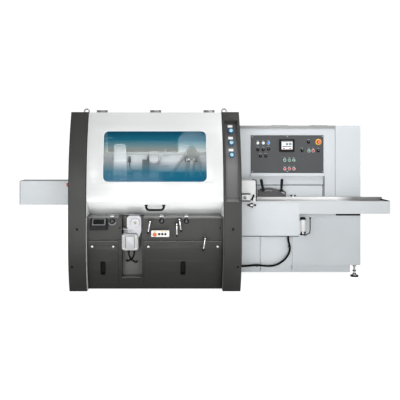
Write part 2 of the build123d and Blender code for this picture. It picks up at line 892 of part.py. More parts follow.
# Fittings on the beam: dust hood, feed gear case with its leg, spring bracket with rods, lift housing, post
with BuildPart() as beam_fittings:
    hood_bottom = cutter_over_z + cutter_radius + 15
    hood_face = beam_front - dust_hood_depth
    with BuildSketch(facing_front(beam_front - seat_gap)) as hood_outline:
        with BuildLine():
            Polyline(
                (top_spindle_x - dust_hood_foot_width / 2, hood_bottom),
                (top_spindle_x + dust_hood_foot_width / 2, hood_bottom),
                (top_spindle_x + dust_hood_top_width / 2, dust_hood_top),
                (top_spindle_x - dust_hood_top_width / 2, dust_hood_top),
                close=True,
            )
        make_face()
        fillet(hood_outline.vertices().group_by(Axis.Y)[-1], dust_hood_corner)
    extrude(amount=dust_hood_depth)
    fillet(beam_fittings.faces().sort_by(Axis.Y)[0].outer_wire().edges(), 10)
beam_face = beam_front - seat_gap
gear_case_middle = (bay_middle + gear_case_shift, beam_low + gear_case_rise)
with BuildPart() as gear_case:
    with BuildSketch(facing_front(beam_face)):
        with Locations(gear_case_middle):
            Circle(gear_case_radius)
    extrude(amount=92)
    with BuildSketch(facing_front(beam_face)):
        with Locations(gear_case_middle):
            Circle(gear_case_radius + 11)
            with PolarLocations(gear_case_radius + 11, 8, start_angle=22.5):
                Circle(9)
    extrude(amount=40)
    leg_x = bay_middle + gear_leg_shift
    block(
        (leg_x - gear_leg_width / 2, leg_x + gear_leg_width / 2),
        (beam_face - gear_leg_depth, beam_face),
        (beam_low - 6, gear_case_middle[1] - 10),
    )
    fillet(gear_case.faces().sort_by(Axis.Y)[0].edges(), 8)
bracket_x = bay_middle + bracket_shift
bracket_z = beam_low + bracket_rise
bracket_half = bracket_width / 2
with BuildPart() as spring_bracket:
    with BuildSketch(facing_front(beam_face)):
        with BuildLine():
            Polyline(
                (bracket_x - bracket_half, bracket_z),
                (bracket_x + bracket_half, bracket_z),
                (bracket_x + bracket_half, bracket_z + 91),
                (bracket_x + 19, bracket_z + bracket_height),
                (bracket_x - 11, bracket_z + bracket_height),
                (bracket_x - bracket_half, bracket_z + 81),
                close=True,
            )
        make_face()
    extrude(amount=bracket_plate)
    for shift in (-27, 27):
        bolt = (bracket_x + shift, beam_front - bracket_plate, bracket_z + 23)
        round_bar(bolt, (0, -1, 0), 12, 11)
    rod_foot_z = beam_low - 48
    for shift, rise, spread in ((-30, 138, -200), (-52, 84, -165), (-47, 22, -8), (58, 80, 42)):
        rod_top = (bracket_x + shift, beam_front - 26, bracket_z + rise)
        run = Vector(spread, 0, rod_foot_z - rod_top[2])
        round_bar(rod_top, run, run.length, 9)
        round_bar((rod_top[0], beam_front - 12, rod_top[2]), (0, -1, 0), 26, 12)
    round_bar((bracket_x + 6, beam_front - 34, rod_foot_z), (0, 0, 1), bracket_z + 14 - rod_foot_z, 25)
lift_housing_x = bay_middle + lift_housing_shift
with BuildPart() as lift_housing:
    block(
        (lift_housing_x - lift_housing_width / 2, lift_housing_x + lift_housing_width / 2),
        (beam_front + 10, beam_rear - 10),
        (beam_high, beam_high + lift_housing_height),
    )
    chamfer(lift_housing.edges().filter_by(Axis.Y).group_by(Axis.Z)[-1], 60)
post_x = beam_left + post_from_beam_end
with BuildPart() as post_handle:
    round_bar((post_x, beam_front + 50, beam_high), (0, 0, 1), post_bar_height, post_bar_radius)
    round_bar((post_x, beam_front + 50, beam_high + 147), (1, 0, 0), 70, 8)
with beam_fittings:
    add(gear_case.part)
    add(spring_bracket.part)
    add(lift_housing.part)
    add(post_handle.part)
save(beam_fittings, "beam_fittings")


def feed_roller(x):
    """Toothed feed roller with its shaft through both hanger cheeks."""
    with BuildPart() as roller:
        with BuildSketch(facing_front(roller_y + roller_width / 2)):
            with Locations((x, roller_z)):
                Circle(roller_radius)
                with PolarLocations(roller_radius, roller_teeth):
                    Circle(roller_tooth_cut, mode=Mode.SUBTRACT)
        extrude(amount=roller_width)
        with BuildSketch(facing_front(roller_y + hanger_half + 6)):
            with Locations((x, roller_z)):
                Circle(roller_shaft_radius)
        extrude(amount=2 * hanger_half + 12)
    return roller


for number, x in enumerate(roller_places, start=1):
    save(feed_roller(x), f"feed_roller_{number}")

# Lower fascia: control band with its ledge, the middle post and the tray behind the lift motor
band_low = door_top + shut_gap
with BuildPart() as lower_fascia:
    block((base_left, base_right), (fascia_face, fascia_back), (band_low, ledge_height))
    ledge_back = front + ledge_rear_inset
    ledge_z = (ledge_height - ledge_thickness, ledge_height)
    block((base_left, base_right), (fascia_face, ledge_back), ledge_z)
    extrude(bow_band(post_left, door_low, band_low + 10, door_inset, post_thickness), amount=post_width)
    tray = (recess_left - sheet, recess_right + sheet)
    block(tray, (fascia_face, recess_back + sheet), (recess_low - sheet, ledge_height))
    block(
        (recess_left, recess_right),
        (front, recess_back),
        (recess_low, ledge_height + 1),
        Mode.SUBTRACT,
    )
    for x in dial_places:
        bore = (bay_left + x, fascia_face - 1, dial_height)
        round_bar(bore, (0, 1, 0), fascia_thickness + 2, dial_shaft_radius + running_fit, Mode.SUBTRACT)
    for x, z, lean in lever_places:
        bore = (bay_left + x, fascia_face - 1, z)
        round_bar(bore, (0, 1, 0), fascia_thickness + 14, lever_shaft_radius + running_fit, Mode.SUBTRACT)
    for x, inward in ((post_left, 1), (post_right, -1)):
        start = (x, door_pivot_y, door_pivot_height)
        round_bar(start, (inward, 0, 0), 8, door_pivot_radius + running_fit, Mode.SUBTRACT)
save(lower_fascia, "lower_fascia")


def lower_panel(left, right, pivot_left, pivot_right):
    """Bowed lower panel with a folded rim, a sunk pull, knob bores and a pivot bar along its foot."""
    with BuildPart() as panel:
        extrude(bow_band(left, door_low, door_top, door_inset, door_thickness), amount=right - left)
        hollow = bow_band(
            left + door_rim,
            door_low + 2 * door_rim,
            door_top - door_rim,
            door_inset + door_skin,
            door_thickness,
        )
        extrude(hollow, amount=right - left - 2 * door_rim, mode=Mode.SUBTRACT)
        pull_seat = bow_normal_plane((left + right) / 2, pull_middle_height, door_inset)
        with BuildSketch(pull_seat.offset(-1)) as cup:
            RectangleRounded(pull_width + 2 * pull_wall, pull_height + 2 * pull_wall, 8 + pull_wall)
        extrude(cup.sketch, amount=-pull_depth - pull_wall)
        with BuildSketch(pull_seat.offset(3)) as finger_pocket:
            RectangleRounded(pull_width, pull_height, 8)
        extrude(finger_pocket.sketch, amount=-pull_depth - 3, mode=Mode.SUBTRACT)
        for x in (left + knob_edge_offset, right - knob_edge_offset):
            boss = (x, front + door_inset + door_skin - 1, knob_height)
            round_bar(boss, (0, 1, 0), door_thickness - door_skin + 1, 2 * knob_shaft_radius)
            bore = (x, front + door_inset - 1, knob_height)
            bore_radius = knob_shaft_radius + running_fit
            round_bar(bore, (0, 1, 0), door_thickness + 2, bore_radius, Mode.SUBTRACT)
        pivot_start = (pivot_left, door_pivot_y, door_pivot_height)
        round_bar(pivot_start, (1, 0, 0), pivot_right - pivot_left, door_pivot_radius)
    return panel


def panel_knob(x):
    """Round fluted knob with its shaft through the panel."""
    knob_face = front + door_inset - seat_gap
    with BuildPart() as knob:
        round_bar((x, knob_face, knob_height), (0, -1, 0), knob_length, knob_radius)
        chamfer(knob.faces().sort_by(Axis.Y)[0].edges(), 1.5)
        with BuildSketch(facing_front(knob_face)) as flutes:
            with Locations((x, knob_height)):
                with PolarLocations(knob_radius + 2, 8):
                    Circle(3.5)
        extrude(flutes.sketch, amount=knob_length, mode=Mode.SUBTRACT)
        round_bar((x, knob_face, knob_height), (0, 1, 0), door_thickness + 6, knob_shaft_radius)
        tab_front = knob_face + door_thickness + 2
        block((x - 5, x + 5), (tab_front, tab_front + 4), (knob_height, knob_height + 28))
    return knob


pivot_reach = 6
door_spans = {
    "left": (bay_left + pivot_reach, post_left - shut_gap),
    "right": (post_right + shut_gap, bay_right - pivot_reach),
}
left_door = lower_panel(*door_spans["left"], bay_left - pivot_reach, post_left + pivot_reach)
save(left_door, "left_door")
right_door = lower_panel(*door_spans["right"], post_right - pivot_reach, bay_right + pivot_reach)
save(right_door, "right_door")
for side, (left, right) in door_spans.items():
    save(panel_knob(left + knob_edge_offset), f"{side}_door_knob_1")
    save(panel_knob(right - knob_edge_offset), f"{side}_door_knob_2")


def adjusting_dial(x):
    """Domed adjusting dial with its shaft through the fascia."""
    dial_face = fascia_face - seat_gap
    with BuildPart() as dial:
        round_bar((x, dial_face, dial_height), (0, -1, 0), dial_length, dial_radius)
        fillet(dial.faces().sort_by(Axis.Y)[0].edges(), 6)
        with BuildSketch(facing_front(dial_face)) as flutes:
            with Locations((x, dial_height)):
                with PolarLocations(dial_radius + 2, 12):
                    Circle(4)
        extrude(flutes.sketch, amount=dial_length, mode=Mode.SUBTRACT)
        round_bar((x, dial_face, dial_height), (0, 1, 0), fascia_thickness + 12, dial_shaft_radius)
    return dial


def clamp_lever(x, z, lean):
    """Clamp lever: shaft out of the fascia, hub, round rod and a ball tip."""
    rod_y = fascia_face - lever_standoff
    along = Vector(sin(radians(lean)), 0, -cos(radians(lean)))
    hub = Vector(x, rod_y, z)
    with BuildPart() as lever:
        shaft_start = (x, fascia_back + 10, z)
        round_bar(shaft_start, (0, -1, 0), fascia_back + 10 - rod_y, lever_shaft_radius)
        round_bar((x, rod_y + 16, z), (0, -1, 0), 22, lever_hub_radius)
        round_bar(hub, along, lever_length, lever_rod_radius)
        with Locations(hub + along * lever_length):
            Sphere(lever_tip_radius)
    return lever


for number, x in enumerate(dial_places, start=1):
    save(adjusting_dial(bay_left + x), f"adjusting_dial_{number}")
for number, (x, z, lean) in enumerate(lever_places, start=1):
    save(clamp_lever(bay_left + x, z, lean), f"clamp_lever_{number}")

# Position counters on the ledge, one behind each dial
with BuildPart() as position_counters:
    for x in dial_places:
        middle = bay_left + x
        block(
            (middle - counter_width / 2, middle + counter_width / 2),
            (fascia_face + 5, fascia_face + 5 + counter_depth),
            (ledge_height, ledge_height + counter_height),
        )
    chamfer(position_counters.edges().filter_by(Axis.X).group_by(Axis.Z)[-1], 4)
save(position_counters, "position_counters")

# Position readout: low front face under a sloped screen
readout_left = bay_left + readout_offset
with BuildPart() as position_display:
    with BuildSketch(across(readout_left)):
        with BuildLine():
            Polyline(
                (fascia_face - seat_gap, readout_low),
                (fascia_face - readout_reach, readout_low),
                (fascia_face - readout_reach, readout_low + readout_front_height),
                (fascia_face - seat_gap, readout_high),
                close=True,
            )
        make_face()
    extrude(amount=readout_width)
    fillet(position_display.edges().filter_by(Axis.X).sort_by(Axis.Y)[:2], 5)
save(position_display, "position_display")


def stop_button(face, head_radius, stem_radius):
    """Mushroom stop button: stem into its collar and a domed head above it."""
    with BuildPart() as button:
        with BuildSketch(face.offset(-stop_stem_depth)):
            Circle(stem_radius)
        extrude(amount=stop_stem_depth + stop_lift + 1)
        with BuildSketch(face.offset(stop_lift)):
            Circle(head_radius)
        extrude(amount=stop_head_height)
        top = button.faces().sort_by(Axis(face.origin, face.z_dir))[-1]
        fillet(top.edges(), stop_head_height / 2)
    return button


# Front control box with three push buttons and the collar of its stop button
box_left = bay_left + box_offset
box_face = fascia_face - seat_gap - box_reach
box_row = box_low + 26
box_stop_x = box_left + box_stop_offset
with BuildPart() as front_control_box:
    box_ends = (box_left, box_left + box_width)
    block(box_ends, (box_face, fascia_face - seat_gap), (box_low, box_low + box_height))
    fillet(front_control_box.edges().filter_by(Axis.Y), 8)
    collar_start = (box_stop_x, box_face + 1, box_row)
    round_bar(collar_start, (0, -1, 0), stop_collar_height + 1, small_stop_radius + 4)
    for step in range(3):
        button_x = box_left + box_button_offset + step * box_button_pitch
        round_bar((button_x, box_face + 1, box_row + 4), (0, -1, 0), bezel_height + 1, bezel_radius - 3)
        round_bar((button_x, box_face + 1, box_row + 4), (0, -1, 0), control_height - 2, control_radius - 3)
    stem_bore = (box_stop_x, box_face - stop_collar_height - 1, box_row)
    round_bar(stem_bore, (0, 1, 0), stop_stem_depth + 10, stop_stem_radius + seat_gap, Mode.SUBTRACT)
save(front_control_box, "front_control_box")
front_stop = stop_button(
    Plane(origin=(box_stop_x, box_face - stop_collar_height, box_row), x_dir=(1, 0, 0), z_dir=(0, -1, 0)),
    small_stop_radius,
    stop_stem_radius,
)
save(front_stop, "front_stop")
side_stop = stop_button(
    Plane(origin=(enclosure_left - stop_collar_height, side_stop_y, side_stop_height), z_dir=(-1, 0, 0)),
    stop_head_radius,
    stop_stem_radius,
)
save(side_stop, "side_stop")

# Lift gearmotor: gearbox with its round bearing cover, motor below it and the terminal box in front
gear_right = recess_right - 6
gear_left = gear_right - gearbox_width
terminal_left = recess_left + 3
terminal_top = gearbox_low - 39
terminal_low = terminal_top - terminal_height
motor_x = terminal_left + terminal_width / 2
motor_y = gearbox_rear - 22
with BuildPart() as lift_gearmotor:
    block((gear_left, gear_right), (gearbox_front, gearbox_rear), (gearbox_low, gearbox_high))
    chamfer(lift_gearmotor.edges().filter_by(Axis.Y), 22)
    boss_x = gear_left + 0.58 * gearbox_width
    boss_z = (gearbox_low + gearbox_high) / 2
    round_bar((boss_x, gearbox_front + 1, boss_z), (0, -1, 0), gear_boss_length + 1, gear_boss_radius)
    round_bar((boss_x, gearbox_front - gear_boss_length + 1, boss_z), (0, -1, 0), 6, 14)
    with BuildSketch(facing_front(gearbox_rear - 20)) as neck:
        with BuildLine():
            Polyline(
                (gear_right, gearbox_low + 24),
                (gear_right, gearbox_low - 22),
                (gear_right - 26, gearbox_low - 92),
                (gear_left + 30, gearbox_low - 92),
                (gear_left, gearbox_low + 24),
                close=True,
            )
        make_face()
    extrude(neck.sketch, amount=gearbox_depth - 50)
    motor_foot = (motor_x, motor_y, terminal_low + 12)
    round_bar(motor_foot, (0, 0, 1), gearbox_low - terminal_low - 11, lift_motor_radius)
    round_bar((motor_x, motor_y, gearbox_low - 16), (0, 0, 1), 17, lift_motor_radius + 8)
    block(
        (gear_left + 20, gear_right - 20),
        (gearbox_rear - 1, recess_back - seat_gap),
        (gearbox_low + 10, gearbox_high - 30),
    )
    terminal_front = gearbox_front - 6
    with BuildSketch(facing_front(terminal_front + terminal_depth)) as terminal_body:
        with Locations((motor_x, (terminal_low + terminal_top) / 2)):
            RectangleRounded(terminal_width, terminal_height, 30)
    extrude(terminal_body.sketch, amount=terminal_depth - 16)
    with BuildSketch(facing_front(terminal_front + 16)) as terminal_lid:
        with Locations((motor_x, (terminal_low + terminal_top) / 2)):
            RectangleRounded(terminal_width - 12, terminal_height - 12, 26)
    extrude(terminal_lid.sketch, amount=16)
    fillet(lift_gearmotor.faces().sort_by(Axis.Y)[0].edges().filter_by(GeomType.CIRCLE), 2)
save(lift_gearmotor, "lift_gearmotor")


def corner_radii(points):
    """Radius at each inner corner of a route, as large as its two runs allow."""
    radii = []
    for before, corner, after in zip(points, points[1:], points[2:]):
        run_in = Vector(*corner) - Vector(*before)
        run_out = Vector(*after) - Vector(*corner)
        half_turn = radians(run_in.get_angle(run_out)) / 2
        radii.append(0.45 * min(run_in.length, run_out.length) / tan(half_turn))
    return radii


def cord(name, points, radius):
    """Round cable along a route of straight runs and tangent arcs."""
    radii = corner_radii(points)
    with BuildPart() as tube:
        with BuildLine() as route:
            FilletPolyline(*points, radius=radii)
        with BuildSketch(Plane(origin=points[0], z_dir=Vector(*points[1]) - Vector(*points[0]))):
            Circle(radius)
        sweep(path=route.wire())
    length = route.wire().length
    section = 3.14159265 * radius**2
    print(name, "length", round(length), "radii", [round(r) for r in radii])
    print(name, "volume over section times length", round(tube.part.volume / (section * length), 4))
    return tube


# Motor cables: two leads from the terminal box that cross and enter the tray's back wall
cable_a_points = [
    (motor_x - 14, terminal_front + 26, terminal_low),
    (motor_x - 14, terminal_front + 26, terminal_low - 40),
    (motor_x + 4, terminal_front + 30, terminal_low - 78),
    (motor_x + 30, terminal_front + 50, terminal_low - 108),
    (motor_x + 52, terminal_front + 88, terminal_low - 128),
    (motor_x + 60, terminal_front + 138, terminal_low - 138),
    (motor_x + 60, recess_back, terminal_low - 138),
]
cable_b_points = [
    (motor_x + 40, terminal_front + 40, terminal_low),
    (motor_x + 40, terminal_front + 40, terminal_low - 40),
    (motor_x + 24, terminal_front + 52, terminal_low - 78),
    (motor_x - 4, terminal_front + 76, terminal_low - 104),
    (motor_x - 28, terminal_front + 110, terminal_low - 120),
    (motor_x - 38, terminal_front + 150, terminal_low - 128),
    (motor_x - 38, recess_back, terminal_low - 128),
]
with BuildPart() as motor_cables:
    add(cord("motor cable a", cable_a_points, cable_radius).part)
    add(cord("motor cable b", cable_b_points, cable_radius).part)
save(motor_cables, "motor_cables")

# Electrical cabinet with its stepped front, shelf, recess, plinth, edge strips and roof vents
cabinet_block_left = cabinet_right - cabinet_block_width
shelf_high = panel_low - 2
shelf_low = shelf_high - 32
shelf = (panel_left - 6, panel_left + panel_width + 6)
with BuildPart() as cabinet_inside:
    block(
        (cabinet_left + sheet, cabinet_right - sheet),
        (cabinet_face + sheet, rear - sheet),
        (cabinet_low + sheet, cabinet_high - sheet),
    )
    block(
        (shelf[0] - sheet, shelf[1] + sheet),
        (cabinet_face, cabinet_face + 25 + sheet),
        (table_height + 21 - sheet, shelf_high),
        Mode.SUBTRACT,
    )
with BuildPart() as electrical_cabinet:
    block((cabinet_left, cabinet_right), (cabinet_front, rear), (cabinet_low, cabinet_high))
    add(cabinet_inside.part, mode=Mode.SUBTRACT)
    block(
        (cabinet_left - 1, cabinet_block_left),
        (cabinet_front - 1, cabinet_face),
        (table_height + 20, cabinet_high - cabinet_strip),
        Mode.SUBTRACT,
    )
    block(shelf, (cabinet_front - 5, cabinet_face + 1), (shelf_low, shelf_high))
    block(shelf, (cabinet_face - 1, cabinet_face + 25), (shelf_low - 95, shelf_low), Mode.SUBTRACT)
    gap_right = panel_left + panel_width
    block(
        (gap_right - 8, gap_right),
        (cabinet_face - 1, cabinet_face + 20),
        (table_height + 21, shelf_low - 94),
        Mode.SUBTRACT,
    )
    plinth_right = infeed_end - plinth_end_inset
    block((cabinet_left, plinth_right), (plinth_front, rear - 50), (plinth_low, cabinet_low + 1))
    for x in (enclosure_right + 294, enclosure_right + 632):
        block((x, x + 24), (cabinet_front - 10, cabinet_front + 1), (plinth_low + 26, side_box_low - 1))
        block((x, x + 24), (cabinet_front - 10, plinth_front + 1), (plinth_low + 26, cabinet_low + 1))
    for x in (enclosure_right + 554, enclosure_right + 994):
        with BuildSketch(Plane.XY.offset(cabinet_high)) as vent:
            with Locations((x, (cabinet_front + rear) / 2 - 100)):
                RectangleRounded(vent_width, vent_width, 12)
        extrude(vent.sketch, amount=vent_height, taper=20)
save(electrical_cabinet, "electrical_cabinet")

# Control panel plate with the stop button's bore
panel_stop_x = panel_left + 720
panel_stop_z = panel_low + 331
with BuildPart() as control_panel:
    block(
        (panel_left, panel_left + panel_width),
        (panel_face, panel_face + panel_thickness),
        (panel_low, panel_low + panel_height),
    )
    chamfer(control_panel.faces().sort_by(Axis.Y)[0].edges(), 2)
    collar_start = (panel_stop_x, panel_face + 1, panel_stop_z)
    round_bar(collar_start, (0, -1, 0), stop_collar_height + 1, stop_collar_radius)
    stem_bore = (panel_stop_x, panel_face - stop_collar_height - 1, panel_stop_z)
    stem_hole = panel_thickness + stop_collar_height + 2
    round_bar(stem_bore, (0, 1, 0), stem_hole, stop_stem_radius + seat_gap, Mode.SUBTRACT)
save(control_panel, "control_panel")
panel_stop_place = (panel_stop_x, panel_face - stop_collar_height, panel_stop_z)
panel_stop = stop_button(
    Plane(origin=panel_stop_place, x_dir=(1, 0, 0), z_dir=(0, -1, 0)),
    stop_head_radius,
    stop_stem_radius,
)
save(panel_stop, "panel_stop")

# Touch screen with a sunk display
screen_left = panel_left + screen_offset
screen_top = panel_low + panel_height - screen_top_gap
with BuildPart() as touch_screen:
    block(
        (screen_left, screen_left + screen_width),
        (panel_face - seat_gap - screen_depth, panel_face - seat_gap),
        (screen_top - screen_height, screen_top),
    )
    fillet(touch_screen.edges().filter_by(Axis.Y), 6)
    block(
        (screen_left + 20, screen_left + screen_width - 20),
        (panel_face - seat_gap - screen_depth - 1, panel_face - seat_gap - screen_depth + 2),
        (screen_top - screen_height + 26, screen_top - 18),
        Mode.SUBTRACT,
    )
save(touch_screen, "touch_screen")

# Panel controls: lamps, push buttons and selector switches, each in a round bezel
lamp_spots = [(x, 319) for x in (73, 131, 187)]
button_spots = [(x, z) for z in (136, 44) for x in (361, 410, 458)] + [(619, 236), (665, 236)]
selector_spots = [(73, 249), (131, 249), (187, 255), (100, 180), (158, 180)]
selector_spots += [(615, 330), (546, 240), (718, 236)]
with BuildPart() as panel_controls:
    for x, z in lamp_spots + button_spots + selector_spots:
        bezel = (panel_left + x, panel_face - seat_gap, panel_low + z)
        round_bar(bezel, (0, -1, 0), bezel_height, bezel_radius)
    for x, z in lamp_spots + button_spots:
        cap = (panel_left + x, panel_face - seat_gap, panel_low + z)
        round_bar(cap, (0, -1, 0), control_height, control_radius)
    for x, z in selector_spots:
        middle = panel_left + x
        block(
            (middle - 4, middle + 4),
            (panel_face - seat_gap - control_height - 6, panel_face - seat_gap - bezel_height + 1),
            (panel_low + z - control_radius, panel_low + z + control_radius),
        )
save(panel_controls, "panel_controls")

# Infeed table: plate, aprons, end cap and the rail that carries the fence
infeed_left = enclosure_right + seat_gap
apron_left = side_box_right + seat_gap
apron_low = table_height - apron_drop
plate_low = table_height - infeed_plate
with BuildPart() as infeed_table:
    block((infeed_left, infeed_end), (table_front, table_rear), (plate_low, table_height))
    block((apron_left, infeed_end), (table_front, table_front + sheet), (apron_low, plate_low + 1))
    block((apron_left, infeed_end), (table_rear - sheet, table_rear), (apron_low, plate_low + 1))
    block((infeed_end - sheet, infeed_end), (table_front, table_rear), (apron_low, plate_low + 1))
    rail_z = (table_height - 1, table_height + rail_height)
    block((infeed_left, infeed_end - 6), (fence_face, table_rear), rail_z)
save(infeed_table, "infeed_table")

# Infeed side box with its bottom flange, the conduit's gland, the pump's bracket and the star knob's bore
conduit_exit = (enclosure_right + 580, conduit_y, side_box_low - gland_length)
with BuildPart() as infeed_side_box:
    box_rear = cabinet_front - seat_gap
    block((side_box_left, side_box_right), (table_front, box_rear), (side_box_low, plate_low - seat_gap))
    block(
        (side_box_left + sheet, side_box_right - sheet),
        (table_front + sheet, box_rear - sheet),
        (side_box_low + sheet, plate_low - seat_gap - sheet),
        Mode.SUBTRACT,
    )
    flange_z = (side_box_low, side_box_low + side_box_flange)
    block((side_box_left, side_box_right), (table_front - 6, table_front + 1), flange_z)
    gland_top = (conduit_exit[0], conduit_exit[1], side_box_low + 1)
    round_bar(gland_top, (0, 0, -1), gland_length + 1, gland_radius)
    knob_x = enclosure_right + star_knob_offset
    knob_bore = (knob_x, table_front - 1, star_knob_height)
    round_bar(knob_bore, (0, 1, 0), 30, knob_shaft_radius + running_fit, Mode.SUBTRACT)
save(infeed_side_box, "infeed_side_box")

# Star knob under the infeed cover
with BuildPart() as infeed_knob:
    with BuildSketch(facing_front(table_front - seat_gap)):
        with Locations((knob_x, star_knob_height)):
            Circle(star_knob_radius - 7)
            with PolarLocations(star_knob_radius - 8, star_knob_lobes):
                Circle(8)
    extrude(amount=star_knob_length)
    fillet(infeed_knob.faces().sort_by(Axis.Y)[0].edges(), 2)
    round_bar((knob_x, table_front - seat_gap, star_knob_height), (0, 1, 0), 26, knob_shaft_radius)
save(infeed_knob, "infeed_knob")

# Infeed cover: folded sheet over the table's mouth, with the side guide's block on its front
cover_right = infeed_left + cover_length
with BuildPart() as infeed_cover:
    with BuildSketch(across(infeed_left)):
        with BuildLine():
            Polyline(
                (table_front, table_height),
                (table_front, table_height + cover_height),
                (table_rear + 6, table_height + cover_height),
                (table_rear + 6, table_height),
                (table_rear + 2, table_height),
                (table_rear + 2, table_height + cover_height - sheet),
                (table_front + sheet, table_height + cover_height - sheet),
                (table_front + sheet, table_height),
                close=True,
            )
        make_face()
    extrude(amount=cover_length)
    guide_block = (infeed_left + 48, infeed_left + 138)
    block(guide_block, (table_front - 42, table_front + 1), (table_height + 1, table_height + 72))
    chamfer(infeed_cover.faces().sort_by(Axis.Y)[0].edges(), 4)
    bolt_start = (infeed_left + 80, table_front - 41, table_height + 40)
    round_bar(bolt_start, (0, -1, 0), 10, 11)
save(infeed_cover, "infeed_cover")

# Infeed fence: cast plate with a long and a short arched lobe, a curved slot in each, standing on the rail
fence_right = fence_left + fence_width
fence_front = fence_face
fence_valley = (fence_left + fence_valley_offset, fence_top)
fence_crown_point = (fence_left + fence_valley_offset / 2, fence_crown)
end_lobe_middle = ((fence_valley[0] + fence_right) / 2, fence_top + 3)
with BuildPart() as infeed_fence:
    with BuildSketch(facing_front(fence_front + fence_plate)):
        with BuildLine():
            Polyline(
                (fence_left, fence_top),
                (fence_left, fence_low),
                (fence_right, fence_low),
                (fence_right, fence_end_top),
            )
            ThreePointArc((fence_right, fence_end_top), end_lobe_middle, fence_valley)
            ThreePointArc(fence_valley, fence_crown_point, (fence_left, fence_top))
        make_face()
        slot_z = fence_crown - fence_slot_drop
        with BuildLine() as long_slot:
            ThreePointArc(
                (fence_crown_point[0] - fence_slot_spread, slot_z - 6),
                (fence_crown_point[0], slot_z),
                (fence_crown_point[0] + fence_slot_spread, slot_z - 6),
            )
        SlotArc(long_slot.edge(), fence_slot_height, mode=Mode.SUBTRACT)
        with BuildLine() as short_slot:
            ThreePointArc(
                (end_lobe_middle[0] - 8, fence_top - fence_end_slot_drop),
                (end_lobe_middle[0] + 9, fence_top - fence_end_slot_drop - 4),
                (end_lobe_middle[0] + 24, fence_top - fence_end_slot_drop - 12),
            )
        SlotArc(short_slot.edge(), fence_slot_height, mode=Mode.SUBTRACT)
    extrude(amount=fence_plate)
    chamfer(infeed_fence.faces().sort_by(Axis.Y)[0].outer_wire().edges(), 3)
    for x in fence_handle_places:
        bore = (enclosure_right + x, fence_front - 1, fence_pivot_z)
        round_bar(bore, (0, 1, 0), fence_plate + 2, knob_shaft_radius + running_fit, Mode.SUBTRACT)
save(infeed_fence, "infeed_fence")


def fence_handle(x, lean):
    """Upright clamp handle: shaft through the fence, hub and a tapered grip."""
    hub_face = fence_front - seat_gap
    grip_y = hub_face - 16
    along = Vector(sin(radians(lean)), 0, cos(radians(lean)))
    with BuildPart() as handle:
        shaft_start = (x, hub_face + fence_plate, fence_pivot_z)
        round_bar(shaft_start, (0, -1, 0), fence_plate + 10, knob_shaft_radius)
        round_bar((x, hub_face, fence_pivot_z), (0, -1, 0), 30, fence_hub_radius)
        start = Vector(x, grip_y, fence_pivot_z)
        with BuildSketch(Plane(origin=start, z_dir=along)) as grip_foot:
            Circle(fence_handle_foot_radius)
        with BuildSketch(Plane(origin=start + along * fence_handle_length, z_dir=along)) as grip_head:
            Circle(fence_handle_radius)
        loft([grip_foot.sketch, grip_head.sketch])
        with Locations(start + along * fence_handle_length):
            Sphere(fence_handle_radius)
    return handle


for number, (x, lean) in enumerate(zip(fence_handle_places, fence_handle_leans), start=1):
    save(fence_handle(enclosure_right + x, lean), f"fence_handle_{number}")

# Outfeed table and its cover
outfeed_right = enclosure_left - seat_gap
with BuildPart() as outfeed_table:
    outfeed_ends = (outfeed_end, outfeed_right)
    block(outfeed_ends, (table_front, table_rear), (table_height - infeed_plate, table_height))
    for y in (table_front, table_rear - sheet):
        block(outfeed_ends, (y, y + sheet), (table_height - outfeed_apron, table_height))
    block(outfeed_ends, (fence_face, table_rear), (table_height - 1, table_height + rail_height))
save(outfeed_table, "outfeed_table")
cover_low = table_height - outfeed_apron
cover_high = cover_low + outfeed_cover_height
cover_front = table_front - outfeed_cover_gap - sheet
cover_rear = table_rear + outfeed_cover_gap + sheet
with BuildPart() as outfeed_cover:
    with BuildSketch(across(outfeed_end)):
        with BuildLine():
            Polyline(
                (cover_front, cover_low),
                (cover_front, cover_high),
                (cover_rear, cover_high),
                (cover_rear, cover_low),
                (cover_rear - sheet, cover_low),
                (cover_rear - sheet, cover_high - sheet),
                (cover_front + sheet, cover_high - sheet),
                (cover_front + sheet, cover_low),
                close=True,
            )
        make_face()
    extrude(amount=outfeed_right - outfeed_end)
save(outfeed_cover, "outfeed_cover")

# Lubricator pump on the side of the infeed box: base with the lever's pin, tank, cap and bracket
pump_x = side_box_right + pump_offset
pump_pivot = (side_box_right + pump_pivot_offset, pump_lever_y, pump_pivot_height)
with BuildPart() as lubricator_pump:
    round_bar((pump_x, pump_y, pump_low), (0, 0, 1), pump_base_height + 1, pump_radius - 3)
    round_bar((pump_x, pump_y, pump_low + pump_base_height), (0, 0, 1), pump_tank_height, pump_radius)
    cap_low = pump_low + pump_base_height + pump_tank_height - 1
    round_bar((pump_x, pump_y, cap_low), (0, 0, 1), pump_cap_height + 1, pump_radius - 4)
    fillet(lubricator_pump.faces().sort_by(Axis.Z)[-1].edges(), 10)
    block((side_box_right + seat_gap, pump_x), (pump_y - 12, pump_y + 12), (pump_low + 20, cap_low - 10))
    block(
        (pump_x - 8, pump_pivot[0] + 12),
        (pump_lever_y + 10, pump_y),
        (pump_low, pump_low + 18),
    )
    pin_start = (pump_pivot[0], pump_lever_y + 11, pump_pivot_height)
    round_bar(pin_start, (0, -1, 0), 24, pump_pin_radius)
save(lubricator_pump, "lubricator_pump")

